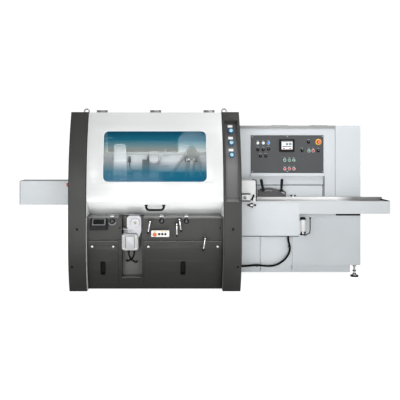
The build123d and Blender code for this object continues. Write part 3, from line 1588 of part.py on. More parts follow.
# Lubricator lever: hub on the pin, bent rod and a ball
with BuildPart() as lubricator_lever:
    rod_x = pump_pivot[0] + 50
    rod_top = pump_pivot_height + 172
    with BuildLine() as rod_line:
        FilletPolyline(
            pump_pivot,
            (rod_x - 6, pump_lever_y, pump_pivot_height + 20),
            (rod_x, pump_lever_y, pump_pivot_height + 48),
            (rod_x, pump_lever_y, rod_top),
            radius=14,
        )
    with BuildSketch(Plane(origin=pump_pivot, z_dir=(44, 0, 20))):
        Circle(pump_lever_radius)
    sweep(path=rod_line.wire())
    with Locations((rod_x, pump_lever_y, rod_top)):
        Sphere(pump_ball_radius)
    hub_start = (pump_pivot[0], pump_lever_y + 10 - seat_gap, pump_pivot_height)
    round_bar(hub_start, (0, -1, 0), 19, pump_hub_radius)
    round_bar(hub_start, (0, -1, 0), 30, pump_pin_radius + running_fit, Mode.SUBTRACT)
save(lubricator_lever, "lubricator_lever")

# Conduit from the infeed box down to the pillar
conduit_points = [
    conduit_exit,
    (conduit_exit[0], conduit_y, 400),
    (conduit_exit[0] + 20, conduit_y - 2, 340),
    (conduit_exit[0] + 12, conduit_y - 4, 268),
    (conduit_exit[0] - 36, conduit_y - 4, 198),
    (conduit_exit[0] - 112, conduit_y - 2, 144),
    (conduit_exit[0] - 198, conduit_y, 126),
    (conduit_exit[0] - 290, conduit_y, 136),
    (conduit_exit[0] - 350, conduit_y, 140),
    (conduit_exit[0] - 456, conduit_y, conduit_low),
    (enclosure_right + gland_length, conduit_y, conduit_low),
]
conduit = cord("conduit", conduit_points, conduit_radius)
save(conduit, "conduit")

# Levelling feet under the cabinet's free end
with BuildPart() as levelling_feet:
    for y in (foot_front_y, foot_rear_y):
        foot_x = infeed_end - foot_x_inset
        round_bar((foot_x, y, 0), (0, 0, 1), foot_pad_height, foot_pad_radius)
        round_bar((foot_x, y, foot_pad_height - 1), (0, 0, 1), 12, foot_nut_radius)
        round_bar((foot_x, y, foot_pad_height), (0, 0, 1), cabinet_low - foot_pad_height, foot_stem_radius)
        round_bar((foot_x, y, cabinet_low - 14), (0, 0, 1), 14, foot_nut_radius)
save(levelling_feet, "levelling_feet")
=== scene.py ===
# %% [markdown]
# # A four-sided planer-moulder, dressed for its portrait
# The CAD model already holds every panel, lever and cutter in its true place. This lesson loads
# it as a fixed frame and adds what makes it look real: painted, cast, ground and moulded
# finishes, seals, screws, dials and plain plates. All sizes are metres, in the CAD model's frame.

# %% Load the frame
from math import cos, pi, radians, sin, sqrt

import bmesh
import bpy
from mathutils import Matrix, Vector


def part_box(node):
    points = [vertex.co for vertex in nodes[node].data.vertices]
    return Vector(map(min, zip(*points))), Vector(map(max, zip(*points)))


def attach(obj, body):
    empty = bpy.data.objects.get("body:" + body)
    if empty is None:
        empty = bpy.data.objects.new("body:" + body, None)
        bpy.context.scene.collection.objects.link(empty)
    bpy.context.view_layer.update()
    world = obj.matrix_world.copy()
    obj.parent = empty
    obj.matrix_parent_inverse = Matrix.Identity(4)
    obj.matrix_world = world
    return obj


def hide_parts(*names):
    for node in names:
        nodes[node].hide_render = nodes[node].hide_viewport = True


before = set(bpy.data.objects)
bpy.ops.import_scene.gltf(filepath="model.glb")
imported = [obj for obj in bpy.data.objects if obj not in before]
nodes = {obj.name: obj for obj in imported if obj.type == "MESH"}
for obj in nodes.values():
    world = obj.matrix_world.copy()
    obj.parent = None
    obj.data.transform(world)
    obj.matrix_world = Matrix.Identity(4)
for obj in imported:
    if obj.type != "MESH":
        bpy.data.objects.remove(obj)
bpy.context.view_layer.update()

# %% [markdown]
# ## Camera
# The photograph was taken from far off with a level lens, and the machine's middle lies below the
# lens axis and to its right. A level camera with a lens shift keeps the pillars upright, as an
# architect's camera would. Tilting the camera instead would make the uprights lean. The plain
# display transform keeps the studio white truly white.

# %% Camera at the photograph's place
camera = bpy.data.objects.new("camera", bpy.data.cameras.new("camera"))
bpy.context.scene.collection.objects.link(camera)
camera.location = (-0.4615, -6.25, 1.413)
camera.rotation_euler = (radians(90), 0, 0)
camera.data.lens = 52.1
camera.data.shift_x = 0.1
camera.data.shift_y = -0.1375
camera.data.clip_end = 60
bpy.context.scene.camera = camera
bpy.context.scene.view_settings.view_transform = "Standard"
print("camera at", [round(c, 2) for c in camera.location])

# %% [markdown]
# ## Node groups that several finishes share
# A painted panel, a casting and a moulded knob all carry tiny unevenness, but at different scales.
# Each effect is one shader node group with named sockets, so that a material only sets its own
# values. The groups work from object coordinates, which are metres here, so that grain keeps its
# real size on every piece.

# %% Small builders for node trees
def new_group(name, inputs):
    """Shader node group that gives a colour, a roughness and a height; returns it and its ends."""
    tree = bpy.data.node_groups.new(name, "ShaderNodeTree")
    for label, value in inputs.items():
        kind = "Color" if isinstance(value, tuple) else "Float"
        socket = tree.interface.new_socket(label, in_out="INPUT", socket_type=f"NodeSocket{kind}")
        socket.default_value = value
    for label, kind in (("Colour", "Color"), ("Roughness", "Float"), ("Height", "Float")):
        tree.interface.new_socket(label, in_out="OUTPUT", socket_type=f"NodeSocket{kind}")
    return tree, tree.nodes.new("NodeGroupInput").outputs, tree.nodes.new("NodeGroupOutput").inputs


def add_node(tree, kind, links=None, **settings):
    """One node with its settings; links maps its inputs to sockets or plain values."""
    node = tree.nodes.new(f"ShaderNode{kind}")
    for key, value in settings.items():
        setattr(node, key, value)
    for key, source in (links or {}).items():
        if isinstance(source, bpy.types.NodeSocket):
            tree.links.new(source, node.inputs[key])
        else:
            node.inputs[key].default_value = source
    return node


def maths(tree, operation, first, second=0.0, clamp=False, third=0.5):
    """Result socket of one math node."""
    sources = {0: first, 1: second, 2: third}
    return add_node(tree, "Math", sources, operation=operation, use_clamp=clamp).outputs[0]


def blend_colour(tree, share, first, second, mode="MIX"):
    """Result socket of a colour mix."""
    sources = {0: share, 6: first, 7: second}
    return add_node(tree, "Mix", sources, data_type="RGBA", blend_type=mode).outputs[2]


def noise(tree, place, scale, detail=2.0):
    """Grey noise around one half at a scale given per metre."""
    sources = {"Vector": place, "Scale": scale, "Detail": detail}
    return add_node(tree, "TexNoise", sources).outputs["Fac"]


def grey_of(tree, value):
    """Grey colour from a value socket."""
    return add_node(tree, "CombineColor", {0: value, 1: value, 2: value}).outputs[0]


def object_place(tree):
    """Socket with a point's place in its object, in metres."""
    return add_node(tree, "TexCoord").outputs["Object"]


def split(tree, vector):
    """The X, Y and Z sockets of a vector."""
    return add_node(tree, "SeparateXYZ", {0: vector}).outputs


# %% [markdown]
# ## Paint
# Sprayed machine paint has a faint orange peel, drifts a little in tone over a metre, gathers dust
# on its flats and chips to bare metal along its edges. The group also paints shade into the colour,
# darkening it towards the floor, where less light falls. A plain colour would show none of this.
# The edges come from comparing the true normal with a rounded one.

# %% Group: paint film
paint_film, given, result = new_group("paint film", {
    "Colour": (0.5, 0.5, 0.5, 1), "Worn colour": (0.35, 0.35, 0.36, 1),
    "Gloss": 0.4, "Wear": 0.5, "Dust": 0.3, "Grime": 0.0,
})
tree = paint_film
dust_brown = (0.46, 0.42, 0.36, 1)
place = object_place(tree)
normal = add_node(tree, "NewGeometry").outputs["Normal"]
drift = noise(tree, place, 2.2, 3)
smear = noise(tree, place, 14.0, 4)
peel = noise(tree, place, 420.0, 1)
soft_normal = add_node(tree, "Bevel", {"Radius": 0.0025}, samples=4).outputs[0]
turn = add_node(tree, "VectorMath", {0: soft_normal, 1: normal}, operation="DOT_PRODUCT")
edge = maths(tree, "MULTIPLY", maths(tree, "SUBTRACT", 1.0, turn.outputs["Value"]), 5.0, True)
chips = maths(tree, "GREATER_THAN", noise(tree, place, 60.0, 5), 0.56)
worn = maths(tree, "MULTIPLY", maths(tree, "MULTIPLY", edge, chips), given["Wear"], True)
facing_up = maths(tree, "SUBTRACT", split(tree, normal)["Z"], 0.5)
flat_top = maths(tree, "MULTIPLY", facing_up, 2.0, True)
settled = maths(tree, "MULTIPLY", flat_top, smear)
settled = maths(tree, "MULTIPLY", settled, given["Dust"], True)
# Painted shade: the colour darkens towards the floor, by the share given to the group.
low = add_node(tree, "MapRange", {
    "Value": split(tree, place)["Z"], "From Min": 0.0, "From Max": 0.75,
    "To Min": 1.0, "To Max": 0.0,
}, interpolation_type="SMOOTHSTEP").outputs["Result"]
foot = maths(tree, "MULTIPLY", low, given["Grime"], True)
tone = maths(tree, "MULTIPLY_ADD", drift, 0.16, third=0.92)
tone = maths(tree, "MULTIPLY", tone, maths(tree, "SUBTRACT", 1.0, foot))
tinted = blend_colour(tree, 1.0, given["Colour"], grey_of(tree, tone), "MULTIPLY")
dusted = blend_colour(tree, settled, tinted, dust_brown)
chipped = blend_colour(tree, worn, dusted, given["Worn colour"])
rough = maths(tree, "ADD", given["Gloss"], maths(tree, "MULTIPLY", smear, 0.12))
rough = maths(tree, "ADD", rough, maths(tree, "MULTIPLY", settled, 0.5), True)
for label, socket in (("Colour", chipped), ("Roughness", rough), ("Height", peel)):
    tree.links.new(socket, result[label])
print("paint film group has", len(tree.nodes), "nodes")

# %% [markdown]
# ## Bare metal
# Ground tables, plated rods and turned spigots carry fine lines along the way they were cut, and
# small stains. Stretched noise gives both the brightness and the roughness of the lines, so a
# highlight breaks up along them.

# %% Group: metal with drawn streaks
streaked_metal, given, result = new_group("streaked metal", {
    "Colour": (0.6, 0.6, 0.6, 1), "Gloss": 0.3, "Across": 240.0, "Along": 4.0, "Spots": 0.2,
})
tree = streaked_metal
stain_brown = (0.16, 0.13, 0.1, 1)
place = object_place(tree)
stretch = add_node(
    tree, "CombineXYZ", {"X": given["Along"], "Y": given["Across"], "Z": given["Across"]}
).outputs[0]
drawn = add_node(tree, "VectorMath", {0: place, 1: stretch}, operation="MULTIPLY").outputs[0]
lines = noise(tree, drawn, 1.0, 3)
stained = maths(tree, "GREATER_THAN", noise(tree, place, 9.0, 5), 0.6)
spots = maths(tree, "MULTIPLY", stained, given["Spots"])
lit = maths(tree, "MULTIPLY_ADD", lines, 0.3, third=0.85)
base = blend_colour(tree, 1.0, given["Colour"], grey_of(tree, lit), "MULTIPLY")
spotted = blend_colour(tree, spots, base, stain_brown)
rough = maths(tree, "ADD", given["Gloss"], maths(tree, "MULTIPLY", lines, 0.2))
rough = maths(tree, "ADD", rough, maths(tree, "MULTIPLY", spots, 0.3), True)
for label, socket in (("Colour", spotted), ("Roughness", rough), ("Height", lines)):
    tree.links.new(socket, result[label])
print("streaked metal group has", len(tree.nodes), "nodes")

# %% [markdown]
# ## Moulded pieces
# Knobs, tips and cables come out of a mould with a fine leathery grain, and hands rub the high
# spots paler. Cell noise gives the grain, and a slower noise says where it has been rubbed.

# %% Group: moulded grain
fine_grain, given, result = new_group("fine grain", {
    "Colour": (0.05, 0.05, 0.05, 1), "Gloss": 0.5, "Grain": 900.0, "Rubbed": 0.3,
})
tree = fine_grain
place = object_place(tree)
cells = add_node(tree, "TexVoronoi", {"Vector": place, "Scale": given["Grain"]})
rub = noise(tree, place, 30.0, 4)
paler = blend_colour(tree, 1.0, given["Colour"], (0.05, 0.05, 0.05, 1), "ADD")
rubbed_share = maths(tree, "MULTIPLY", rub, given["Rubbed"], True)
rubbed = blend_colour(tree, rubbed_share, given["Colour"], paler)
rough = maths(tree, "ADD", given["Gloss"], maths(tree, "MULTIPLY", rub, 0.15), True)
grain = cells.outputs["Distance"]
for label, socket in (("Colour", rubbed), ("Roughness", rough), ("Height", grain)):
    tree.links.new(socket, result[label])
print("fine grain group has", len(tree.nodes), "nodes")

# %% [markdown]
# ## Finishes
# Each finish is one Principled shader fed by one of the groups. Numbers that are the same all over,
# such as the metallic share or a clear coat, sit on the shader itself, because a game engine reads
# them there.

# %% Finish builder
def finish(
    name, group, bump, colour=(0.5, 0.5, 0.5), metallic=0.0, coat=0.0, specular=0.5, **values
):
    """Material whose colour, roughness and bump come from a group with its own values."""
    material = bpy.data.materials.new(name)
    material.use_nodes = True
    tree = material.node_tree
    shader = tree.nodes["Principled BSDF"].inputs
    effect = tree.nodes.new("ShaderNodeGroup")
    effect.name = "effect"
    effect.node_tree = group
    for label, value in {"colour": colour, **values}.items():
        socket = effect.inputs[label.replace("_", " ").capitalize()]
        socket.default_value = (*value, 1) if isinstance(value, tuple) else value
    relief = add_node(
        tree, "Bump", {"Strength": bump, "Distance": 0.0004, "Height": effect.outputs["Height"]}
    )
    tree.links.new(effect.outputs["Colour"], shader["Base Color"])
    tree.links.new(effect.outputs["Roughness"], shader["Roughness"])
    tree.links.new(relief.outputs["Normal"], shader["Normal"])
    shader["Metallic"].default_value = metallic
    shader["Coat Weight"].default_value = coat
    shader["Specular IOR Level"].default_value = specular
    return material


def lit_plastic(name, colour, glow):
    """Glossy coloured plastic that shines a little by itself, for lamps and screens."""
    material = finish(name, fine_grain, 0.02, colour, coat=0.5, gloss=0.12, rubbed=0.0)
    shader = material.node_tree.nodes["Principled BSDF"].inputs
    shader["Emission Color"].default_value = (*colour, 1)
    shader["Emission Strength"].default_value = glow
    return material


# %% Paints
# Charcoal paint, with painted shade darkening it towards the floor.
charcoal = finish(
    "charcoal paint", paint_film, 0.12, (0.0328, 0.0326, 0.031), specular=0.25,
    worn_colour=(0.16, 0.16, 0.16), gloss=0.42, dust=0.05, grime=0.45,
)
white = finish(
    "white enamel", paint_film, 0.08, (0.58, 0.59, 0.59), coat=0.2, gloss=0.3, dust=0.03, wear=0.2
)
# Pale grey enamel, with painted shade darkening it towards the floor.
pale_grey = finish(
    "pale grey enamel", paint_film, 0.1, (0.535, 0.567, 0.587), specular=0.4,
    gloss=0.38, dust=0.05, wear=0.25, grime=0.14,
)
band_grey = finish(
    "band grey enamel", paint_film, 0.1, (0.275, 0.28, 0.28), specular=0.4,
    gloss=0.4, dust=0.05, wear=0.25,
)
panel_grey = finish(
    "panel grey paint", paint_film, 0.12, (0.05, 0.054, 0.058), specular=0.35,
    gloss=0.45, dust=0.04,
)
bezel_grey = finish(
    "bezel grey paint", paint_film, 0.1, (0.16, 0.165, 0.17), specular=0.4, gloss=0.4, dust=0.03
)
motor_silver = finish(
    "motor silver paint", paint_film, 0.1, (0.335, 0.34, 0.355), metallic=0.1,
    gloss=0.32, dust=0.04,
)
lid_grey = finish(
    "terminal lid grey", paint_film, 0.1, (0.36, 0.355, 0.335), specular=0.35, gloss=0.4, dust=0.04
)
# A mid grey for pale beads that paint highlights along edges and plates that paint light onto shaded
# sills.
painted_light_grey = finish(
    "grey painted light", paint_film, 0.12, (0.15, 0.153, 0.152), specular=0.4,
    gloss=0.4, dust=0.1, wear=0.3,
)
# A paler grey that paints light onto the ledge where the lip shades it.
tread_light_grey = finish(
    "ledge tread painted lighter", paint_film, 0.12, (0.32, 0.325, 0.32), specular=0.4,
    gloss=0.4, dust=0.1, wear=0.3,
)
# A lighter copy of the white enamel, which paints light onto the downturned lip where shade falls.
lighter_lip_white = finish(
    "lip white painted lighter", paint_film, 0.08, (0.88, 0.885, 0.885), gloss=0.35, dust=0.0, wear=0.1
)
# A paler grey that paints light onto recess walls that lie in shade.
liner_light_grey = finish(
    "liner grey painted light", paint_film, 0.12, (0.12, 0.12, 0.115), specular=0.3,
    gloss=0.45, dust=0.0, wear=0.2,
)
# Recess paint whose colour carries painted shade, set along the height further down.
recess_shade_paint = finish(
    "recess paint with painted shade", paint_film, 0.12, specular=0.3, gloss=0.45, dust=0.0, wear=0.2
)
dark_casting = finish(
    "dark painted casting", paint_film, 0.3, (0.042, 0.042, 0.044), specular=0.4,
    gloss=0.4, wear=0.6,
)
gauge_blue = finish(
    "gauge rim blue", paint_film, 0.05, (0.006, 0.085, 0.2), coat=0.4,
    gloss=0.25, wear=0.2, dust=0.0,
)
print("finishes so far", len(bpy.data.materials))

# %% Metals
cast_grey = finish(
    "ground casting", streaked_metal, 0.1, (0.42, 0.44, 0.455), metallic=0.3, gloss=0.4
)
ground_steel = finish(
    "ground steel table", streaked_metal, 0.05, (0.74, 0.75, 0.76), metallic=1.0,
    gloss=0.14, spots=0.05,
)
zinc_steel = finish(
    "zinc plated steel", streaked_metal, 0.08, (0.46, 0.47, 0.485), metallic=1.0,
    gloss=0.3, across=90.0,
)
bright_chrome = finish(
    "bright chrome", streaked_metal, 0.02, (0.5, 0.5, 0.51), metallic=1.0, gloss=0.16, spots=0.0
)
satin_steel = finish(
    "satin steel", streaked_metal, 0.04, (0.3, 0.3, 0.305), metallic=0.9, gloss=0.34, spots=0.0
)
lever_chrome = finish(
    "lever chrome", streaked_metal, 0.02, (0.56, 0.56, 0.56), metallic=0.7, gloss=0.1, spots=0.0
)
oiled_steel = finish(
    "oiled steel", streaked_metal, 0.06, (0.25, 0.255, 0.26), metallic=0.6, gloss=0.46, across=90.0
)
bolt_bronze = finish(
    "bolt bronze", streaked_metal, 0.05, (0.2, 0.19, 0.1), metallic=0.8, gloss=0.35, across=90.0
)
print("finishes so far", len(bpy.data.materials))

# %% Plastics and rubber
black_plastic = finish(
    "black moulded plastic", fine_grain, 0.2, (0.005, 0.005, 0.0055), specular=0.12,
    gloss=0.38, rubbed=0.06,
)
black_rubber = finish(
    "black rubber", fine_grain, 0.3, (0.004, 0.004, 0.004), specular=0.06,
    gloss=0.62, grain=500.0, rubbed=0.0,
)
screen_black = finish(
    "screen black", fine_grain, 0.01, (0.004, 0.004, 0.0045), specular=0.12, gloss=0.1, rubbed=0.0
)
stop_red = finish(
    "stop button red", fine_grain, 0.03, (0.55, 0.03, 0.01), coat=0.4, gloss=0.22, rubbed=0.1
)
stop_yellow = finish(
    "stop collar yellow", fine_grain, 0.04, (0.7, 0.38, 0.01), coat=0.2, gloss=0.3, rubbed=0.1
)
label_white = finish(
    "plain plate white", fine_grain, 0.03, (0.66, 0.66, 0.65), gloss=0.45, rubbed=0.1
)
gauge_pale = finish(
    "gauge face pale blue", fine_grain, 0.03, (0.37, 0.58, 0.61), gloss=0.3, rubbed=0.05
)
start_green = lit_plastic("start button green", (0.01, 0.22, 0.1), 0.15)
halt_red = lit_plastic("halt button red", (0.5, 0.03, 0.02), 0.15)
lamp_clear = lit_plastic("lamp clear white", (0.72, 0.72, 0.7), 0.25)
lamp_blue = lit_plastic("lamp blue", (0.02, 0.2, 0.62), 0.3)
screen_pale = lit_plastic("screen pale", (0.62, 0.64, 0.66), 0.35)
screen_tile = lit_plastic("screen tile", (0.16, 0.18, 0.2), 0.1)
print("finishes so far", len(bpy.data.materials))

# %% [markdown]

# %% [markdown]
# ## Finishes made of two parts
# The infeed table is ground bright on top and painted below. Along its top and its rail runs a
# painted reflection, bright over the middle and dark at the far end. The fittings on the feed beam
# are painted each in its own tone, and the gauge recess carries a painted shade that fades darker
# upwards.
# All could be cut into pieces, but each change follows a place in the object, so the material reads
# it from there.

# %% Colour that changes along an axis
def colour_along(tree, axis, stops, steps="LINEAR"):
    """Colour socket that changes along one axis of the object, with stops given in metres."""
    low, high = stops[0][0], stops[-1][0]
    spot = split(tree, object_place(tree))[axis]
    span = {"Value": spot, "From Min": low, "From Max": high}
    node = add_node(tree, "ValToRGB", {"Fac": add_node(tree, "MapRange", span).outputs["Result"]})
    band = node.color_ramp
    band.interpolation = steps
    while len(band.elements) < len(stops):
        band.elements.new(0.5)
    for element, (place, colour) in zip(band.elements, stops):
        element.position = (place - low) / (high - low)
        element.color = (*(colour if isinstance(colour, tuple) else [colour] * 3), 1)
    return node.outputs["Color"]


# %% Table: ground top and rail, painted aprons
rail_foot, flat_enough = 0.8405, 0.7
table_finish = finish(
    "ground top painted apron", paint_film, 0.06, (0.5, 0.525, 0.54), specular=0.45,
    gloss=0.36, dust=0.0, wear=0.25,
)
tree = table_finish.node_tree
shader = tree.nodes["Principled BSDF"].inputs
painted = tree.nodes["effect"].outputs
# Painted reflection along the ground top: brighter over the middle, dark over the far end.
polish_and_reflection = colour_along(tree, "X", [
    (0.52, 0.42), (0.78, 0.56), (1.0, 0.6), (1.22, 0.72), (1.4, 0.72), (1.57, 0.2), (1.86, 0.2),
])
ground = add_node(
    tree, "Group", {"Colour": polish_and_reflection, "Gloss": 0.2, "Spots": 0.03}, node_tree=streaked_metal
).outputs
up = split(tree, add_node(tree, "NewGeometry").outputs["Normal"])["Z"]
# The rail's faces take the same ground colour and painted reflection as the top.
on_rail = maths(tree, "GREATER_THAN", split(tree, object_place(tree))["Z"], rail_foot)
top_mask = maths(tree, "MAXIMUM", maths(tree, "GREATER_THAN", up, flat_enough), on_rail)
mixed = blend_colour(tree, top_mask, painted["Colour"], ground["Colour"])
mixed_rough = add_node(
    tree, "Mix", {0: top_mask, 2: painted["Roughness"], 3: ground["Roughness"]}
).outputs[0]
tree.links.new(mixed, shader["Base Color"])
tree.links.new(mixed_rough, shader["Roughness"])
tree.links.new(maths(tree, "MULTIPLY", top_mask, 0.15), shader["Metallic"])
print("table finish has", len(tree.nodes), "nodes")

# %% Beam fittings and gauge recess
bracket_left, bracket_front, beam_face = -0.42, -0.3165, -0.297
bracket_grey, lift_grey = (0.13, 0.145, 0.14, 1), (0.5, 0.57, 0.6, 1)
fitting_tones = [
    (-1.2, (0.36, 0.38, 0.39)), (-0.96, (0.64, 0.68, 0.7)), (-0.7, (0.05, 0.06, 0.06)),
    (-0.573, (0.52, 0.53, 0.55)), (bracket_left, (0.27, 0.275, 0.27)),
    (-0.072, (0.4, 0.41, 0.42)), (0.2, (0.4, 0.41, 0.42)),
]
fittings_finish = finish(
    "beam fittings paint", paint_film, 0.1, specular=0.4, gloss=0.36, dust=0.03, wear=0.4
)
tree = fittings_finish.node_tree
spot = split(tree, object_place(tree))
tone = colour_along(tree, "X", fitting_tones, "CONSTANT")
on_bracket = maths(
    tree, "MULTIPLY", maths(tree, "GREATER_THAN", spot["X"], bracket_left),
    maths(tree, "GREATER_THAN", spot["Y"], bracket_front),
)
tone = blend_colour(tree, on_bracket, tone, bracket_grey)
tone = blend_colour(tree, maths(tree, "GREATER_THAN", spot["Y"], beam_face), tone, lift_grey)
tree.links.new(tone, tree.nodes["effect"].inputs["Colour"])
# Painted shade in the gauge recess: lightest part way up, darker towards the top and the foot.
tree = recess_shade_paint.node_tree
fade = colour_along(tree, "Z", [
    (0.9, 0.08), (1.02, 0.105), (1.2, 0.15), (1.34, 0.125), (1.5, 0.06), (1.63, 0.04),
])
tree.links.new(fade, tree.nodes["effect"].inputs["Colour"])
print("fitting tones", len(fitting_tones))

# %% [markdown]
# ## Window
# The pane is clear plastic printed with a blue fade: nearly solid along its top and foot and clear
# across the middle. The fade is a colour ramp and a cover ramp along the height, on a thin glossy
# sheet. Real glass transmission would be slower and would hide the machine inside behind
# reflections.

# %% Window plastic
window_low, window_high = 1.058, 1.55
pane_height = window_high - window_low
tint_stops = (
    (0.0, (0.004, 0.09, 0.17)), (0.2, (0.015, 0.15, 0.235)), (0.45, (0.2, 0.25, 0.27)),
    (0.6, (0.34, 0.36, 0.33)), (0.73, (0.11, 0.225, 0.265)), (0.83, (0.007, 0.115, 0.18)),
    (1.0, (0.001, 0.045, 0.09)),
)
cover_stops = ((0.0, 0.82), (0.2, 0.5), (0.42, 0.04), (0.6, 0.4), (0.78, 0.7), (1.0, 0.78))
window_plastic = bpy.data.materials.new("tinted window plastic")
window_plastic.use_nodes = True
tree = window_plastic.node_tree
shader = tree.nodes["Principled BSDF"].inputs
for stops, socket in ((tint_stops, "Base Color"), (cover_stops, "Alpha")):
    stops = [(window_low + share * pane_height, value) for share, value in stops]
    tree.links.new(colour_along(tree, "Z", stops), shader[socket])
waves = noise(tree, object_place(tree), 3.0, 2)
ripple = add_node(tree, "Bump", {"Height": waves, "Strength": 0.05})
tree.links.new(ripple.outputs["Normal"], shader["Normal"])
shader["Roughness"].default_value = 0.08
shader["Specular IOR Level"].default_value = 0.12
print("window tint over", round(pane_height, 3), "m")

# %% [markdown]
# ## Dressing the CAD nodes
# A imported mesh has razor-sharp edges, and real sheet metal never has. A weld and a narrow bevel on
# each node give edges that catch the light, without touching the node's own points.

# %% The finish and the bevel of each node
def dress(material, width, names):
    """Give whole CAD nodes one finish, and soft edges where a width is given."""
    for name in names.split():
        thing = nodes[name]
        thing.data.materials.clear()
        thing.data.materials.append(material)
        if not width:
            continue
        thing.modifiers.new("weld", "WELD").merge_threshold = 0.00002
        bevel = thing.modifiers.new("edges", "BEVEL")
        bevel.width = width
        bevel.segments = 2
        bevel.limit_method = "ANGLE"
        bevel.angle_limit = radians(32)
        bevel.harden_normals = True
        bevel.use_clamp_overlap = True
    print(material.name, "on", names)


dress(charcoal, 0.0015, "left_pillar right_pillar lower_fascia left_door right_door")
dress(charcoal, 0.0015, "rear_cover base_frame")
dress(white, 0.0012, "hood")
dress(window_plastic, 0, "hood_window")
dress(black_plastic, 0.0008, "hood_handle infeed_knob lubricator_lever")
dress(satin_steel, 0.0006, "left_door_knob_1 left_door_knob_2 right_door_knob_1 right_door_knob_2")
dress(black_plastic, 0.0008, "adjusting_dial_1 adjusting_dial_2 adjusting_dial_3")
dress(black_plastic, 0.0008, "position_counters touch_screen")
dress(pale_grey, 0.002, "electrical_cabinet infeed_side_box outfeed_cover")
dress(white, 0.001, "infeed_cover lubricator_pump")
dress(panel_grey, 0.001, "control_panel front_control_box")
dress(black_plastic, 0.001, "position_display")
dress(table_finish, 0.001, "infeed_table")
dress(ground_steel, 0.001, "outfeed_table")
dress(cast_grey, 0.003, "machine_bed feed_beam")
dress(fittings_finish, 0.003, "beam_fittings")
dress(dark_casting, 0.001, "infeed_fence")
dress(black_plastic, 0.0006, "fence_handle_1 fence_handle_2")
dress(satin_steel, 0.0006, "clamp_lever_1 clamp_lever_2 clamp_lever_3 clamp_lever_4")
dress(zinc_steel, 0.0006, "dust_spigots lifting_eyes levelling_feet")
dress(oiled_steel, 0.001, "feed_roller_1 feed_roller_2 feed_roller_3")
dress(oiled_steel, 0.001, "top_spindle bottom_spindle left_spindle right_spindle")
dress(motor_silver, 0.002, "lift_gearmotor spindle_motors")
dress(gauge_blue, 0.0006, "pressure_gauges")
dress(stop_red, 0.0006, "panel_stop front_stop side_stop")
dress(black_rubber, 0.0005, "panel_controls")

# %% [markdown]
# ## Builders for detail pieces
# The small fittings are turned, pressed or folded on the real machine, so they are built the same
# way here: rings stacked along an axis for turned pieces, and rounded outlines stacked one on
# another for plates. Both are loops of points with walls between them, so one skinning helper
# serves all of them.

# %% Skin, lathe and plate
across, rearward, upward = Vector((1, 0, 0)), Vector((0, 1, 0)), Vector((0, 0, 1))
forward = -rearward
lying = (across, rearward)


def skin(form, loops, caps=True):
    """Walls between loops of equal length, with a face over each end."""
    rings = [[form.verts.new(point) for point in loop] for loop in loops]
    for lower, upper in zip(rings, rings[1:]):
        for i in range(len(lower)):
            j = (i + 1) % len(lower)
            form.faces.new((lower[i], lower[j], upper[j], upper[i]))
    if caps:
        form.faces.new(rings[0][::-1])
        form.faces.new(rings[-1])


def turned(form, profile, place, axis, steps=24, caps=True):
    """Lathe form: rings of (radius, height) along an axis; a third number makes a ring
    that many-sided."""
    out = Vector(axis).normalized()
    right = out.orthogonal().normalized()
    up = out.cross(right)
    loops = []
    for radius, height, *sides in profile:
        middle = Vector(place) + out * height
        wedge = pi / sides[0] if sides else 0
        loop = []
        for k in range(steps):
            angle = 2 * pi * k / steps
            reach = radius * cos(wedge) / cos(angle % (2 * wedge) - wedge) if sides else radius
            loop.append(middle + right * reach * cos(angle) + up * reach * sin(angle))
        loops.append(loop)
    skin(form, loops, caps)


def rounded(width, height, corner, steps=4):
    """Outline of a rounded rectangle as points round its middle."""
    points = []
    for quarter, (side, rise) in enumerate(((1, 1), (-1, 1), (-1, -1), (1, -1))):
        for k in range(steps + 1):
            angle = (quarter + k / steps) * pi / 2
            points.append((
                side * (width / 2 - corner) + corner * cos(angle),
                rise * (height / 2 - corner) + corner * sin(angle),
            ))
    return points


def plate(form, place, size, depth, corner, right=across, up=upward):
    """Rounded plate standing proud of a place, with a softened front edge."""
    right, up = right.normalized(), up.normalized()
    out = right.cross(up)
    soft = min(depth * 0.6, corner * 0.5)
    loops = []
    for inset, height in (
        (0, 0), (0, depth - soft), (soft * 0.3, depth - soft * 0.3), (soft, depth)
    ):
        outline = rounded(size[0] - 2 * inset, size[1] - 2 * inset, corner - inset)
        loops.append([Vector(place) + right * a + up * b + out * height for a, b in outline])
    skin(form, loops)


def seat(name, data, body, material):
    """Object for a mesh or a curve, riding on a CAD body."""
    data.materials.append(material)
    thing = bpy.data.objects.new(name, data)
    bpy.context.scene.collection.objects.link(thing)
    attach(thing, body)
    return thing


def piece(name, material, *shapes, body="frame", slot=None):
    """One mesh object on a CAD body, made of shapes given as a builder and its arguments."""
    form = bmesh.new()
    for builder, *details in shapes:
        builder(form, *details)
    bmesh.ops.recalc_face_normals(form, faces=form.faces)
    mesh = bpy.data.meshes.new(name)
    form.to_mesh(mesh)
    form.free()
    mesh.shade_smooth()
    mesh.set_sharp_from_angle(angle=radians(38))
    seat(name, mesh, body, material)


def round_line(name, kind, points, radius, roundness):
    """Round curve along a line of points, and its spline."""
    curve = bpy.data.curves.new(name, "CURVE")
    curve.dimensions = "3D"
    curve.bevel_depth = radius
    curve.bevel_resolution = roundness
    curve.use_fill_caps = True
    spline = curve.splines.new(kind)
    spline.points.add(len(points) - 1)
    for point, spot in zip(spline.points, points):
        point.co = (*spot, 1)
    return curve, spline


def bead(name, material, points, radius, closed=False, body="frame"):
    """Bead, seal or edging along a line of points."""
    curve, spline = round_line(name, "POLY", points, radius, 3)
    spline.use_cyclic_u = closed
    seat(name, curve, body, material)


# %% Turned fittings: buttons, collars and screws
def button(form, radius, height, place, axis=forward, steps=24):
    """Low dome, as on plugs and push button caps."""
    turned(form, [
        (radius, 0), (radius, 0.45 * height), (0.88 * radius, 0.72 * height),
        (0.6 * radius, 0.92 * height), (0.15 * radius, height),
    ], place, axis, steps)


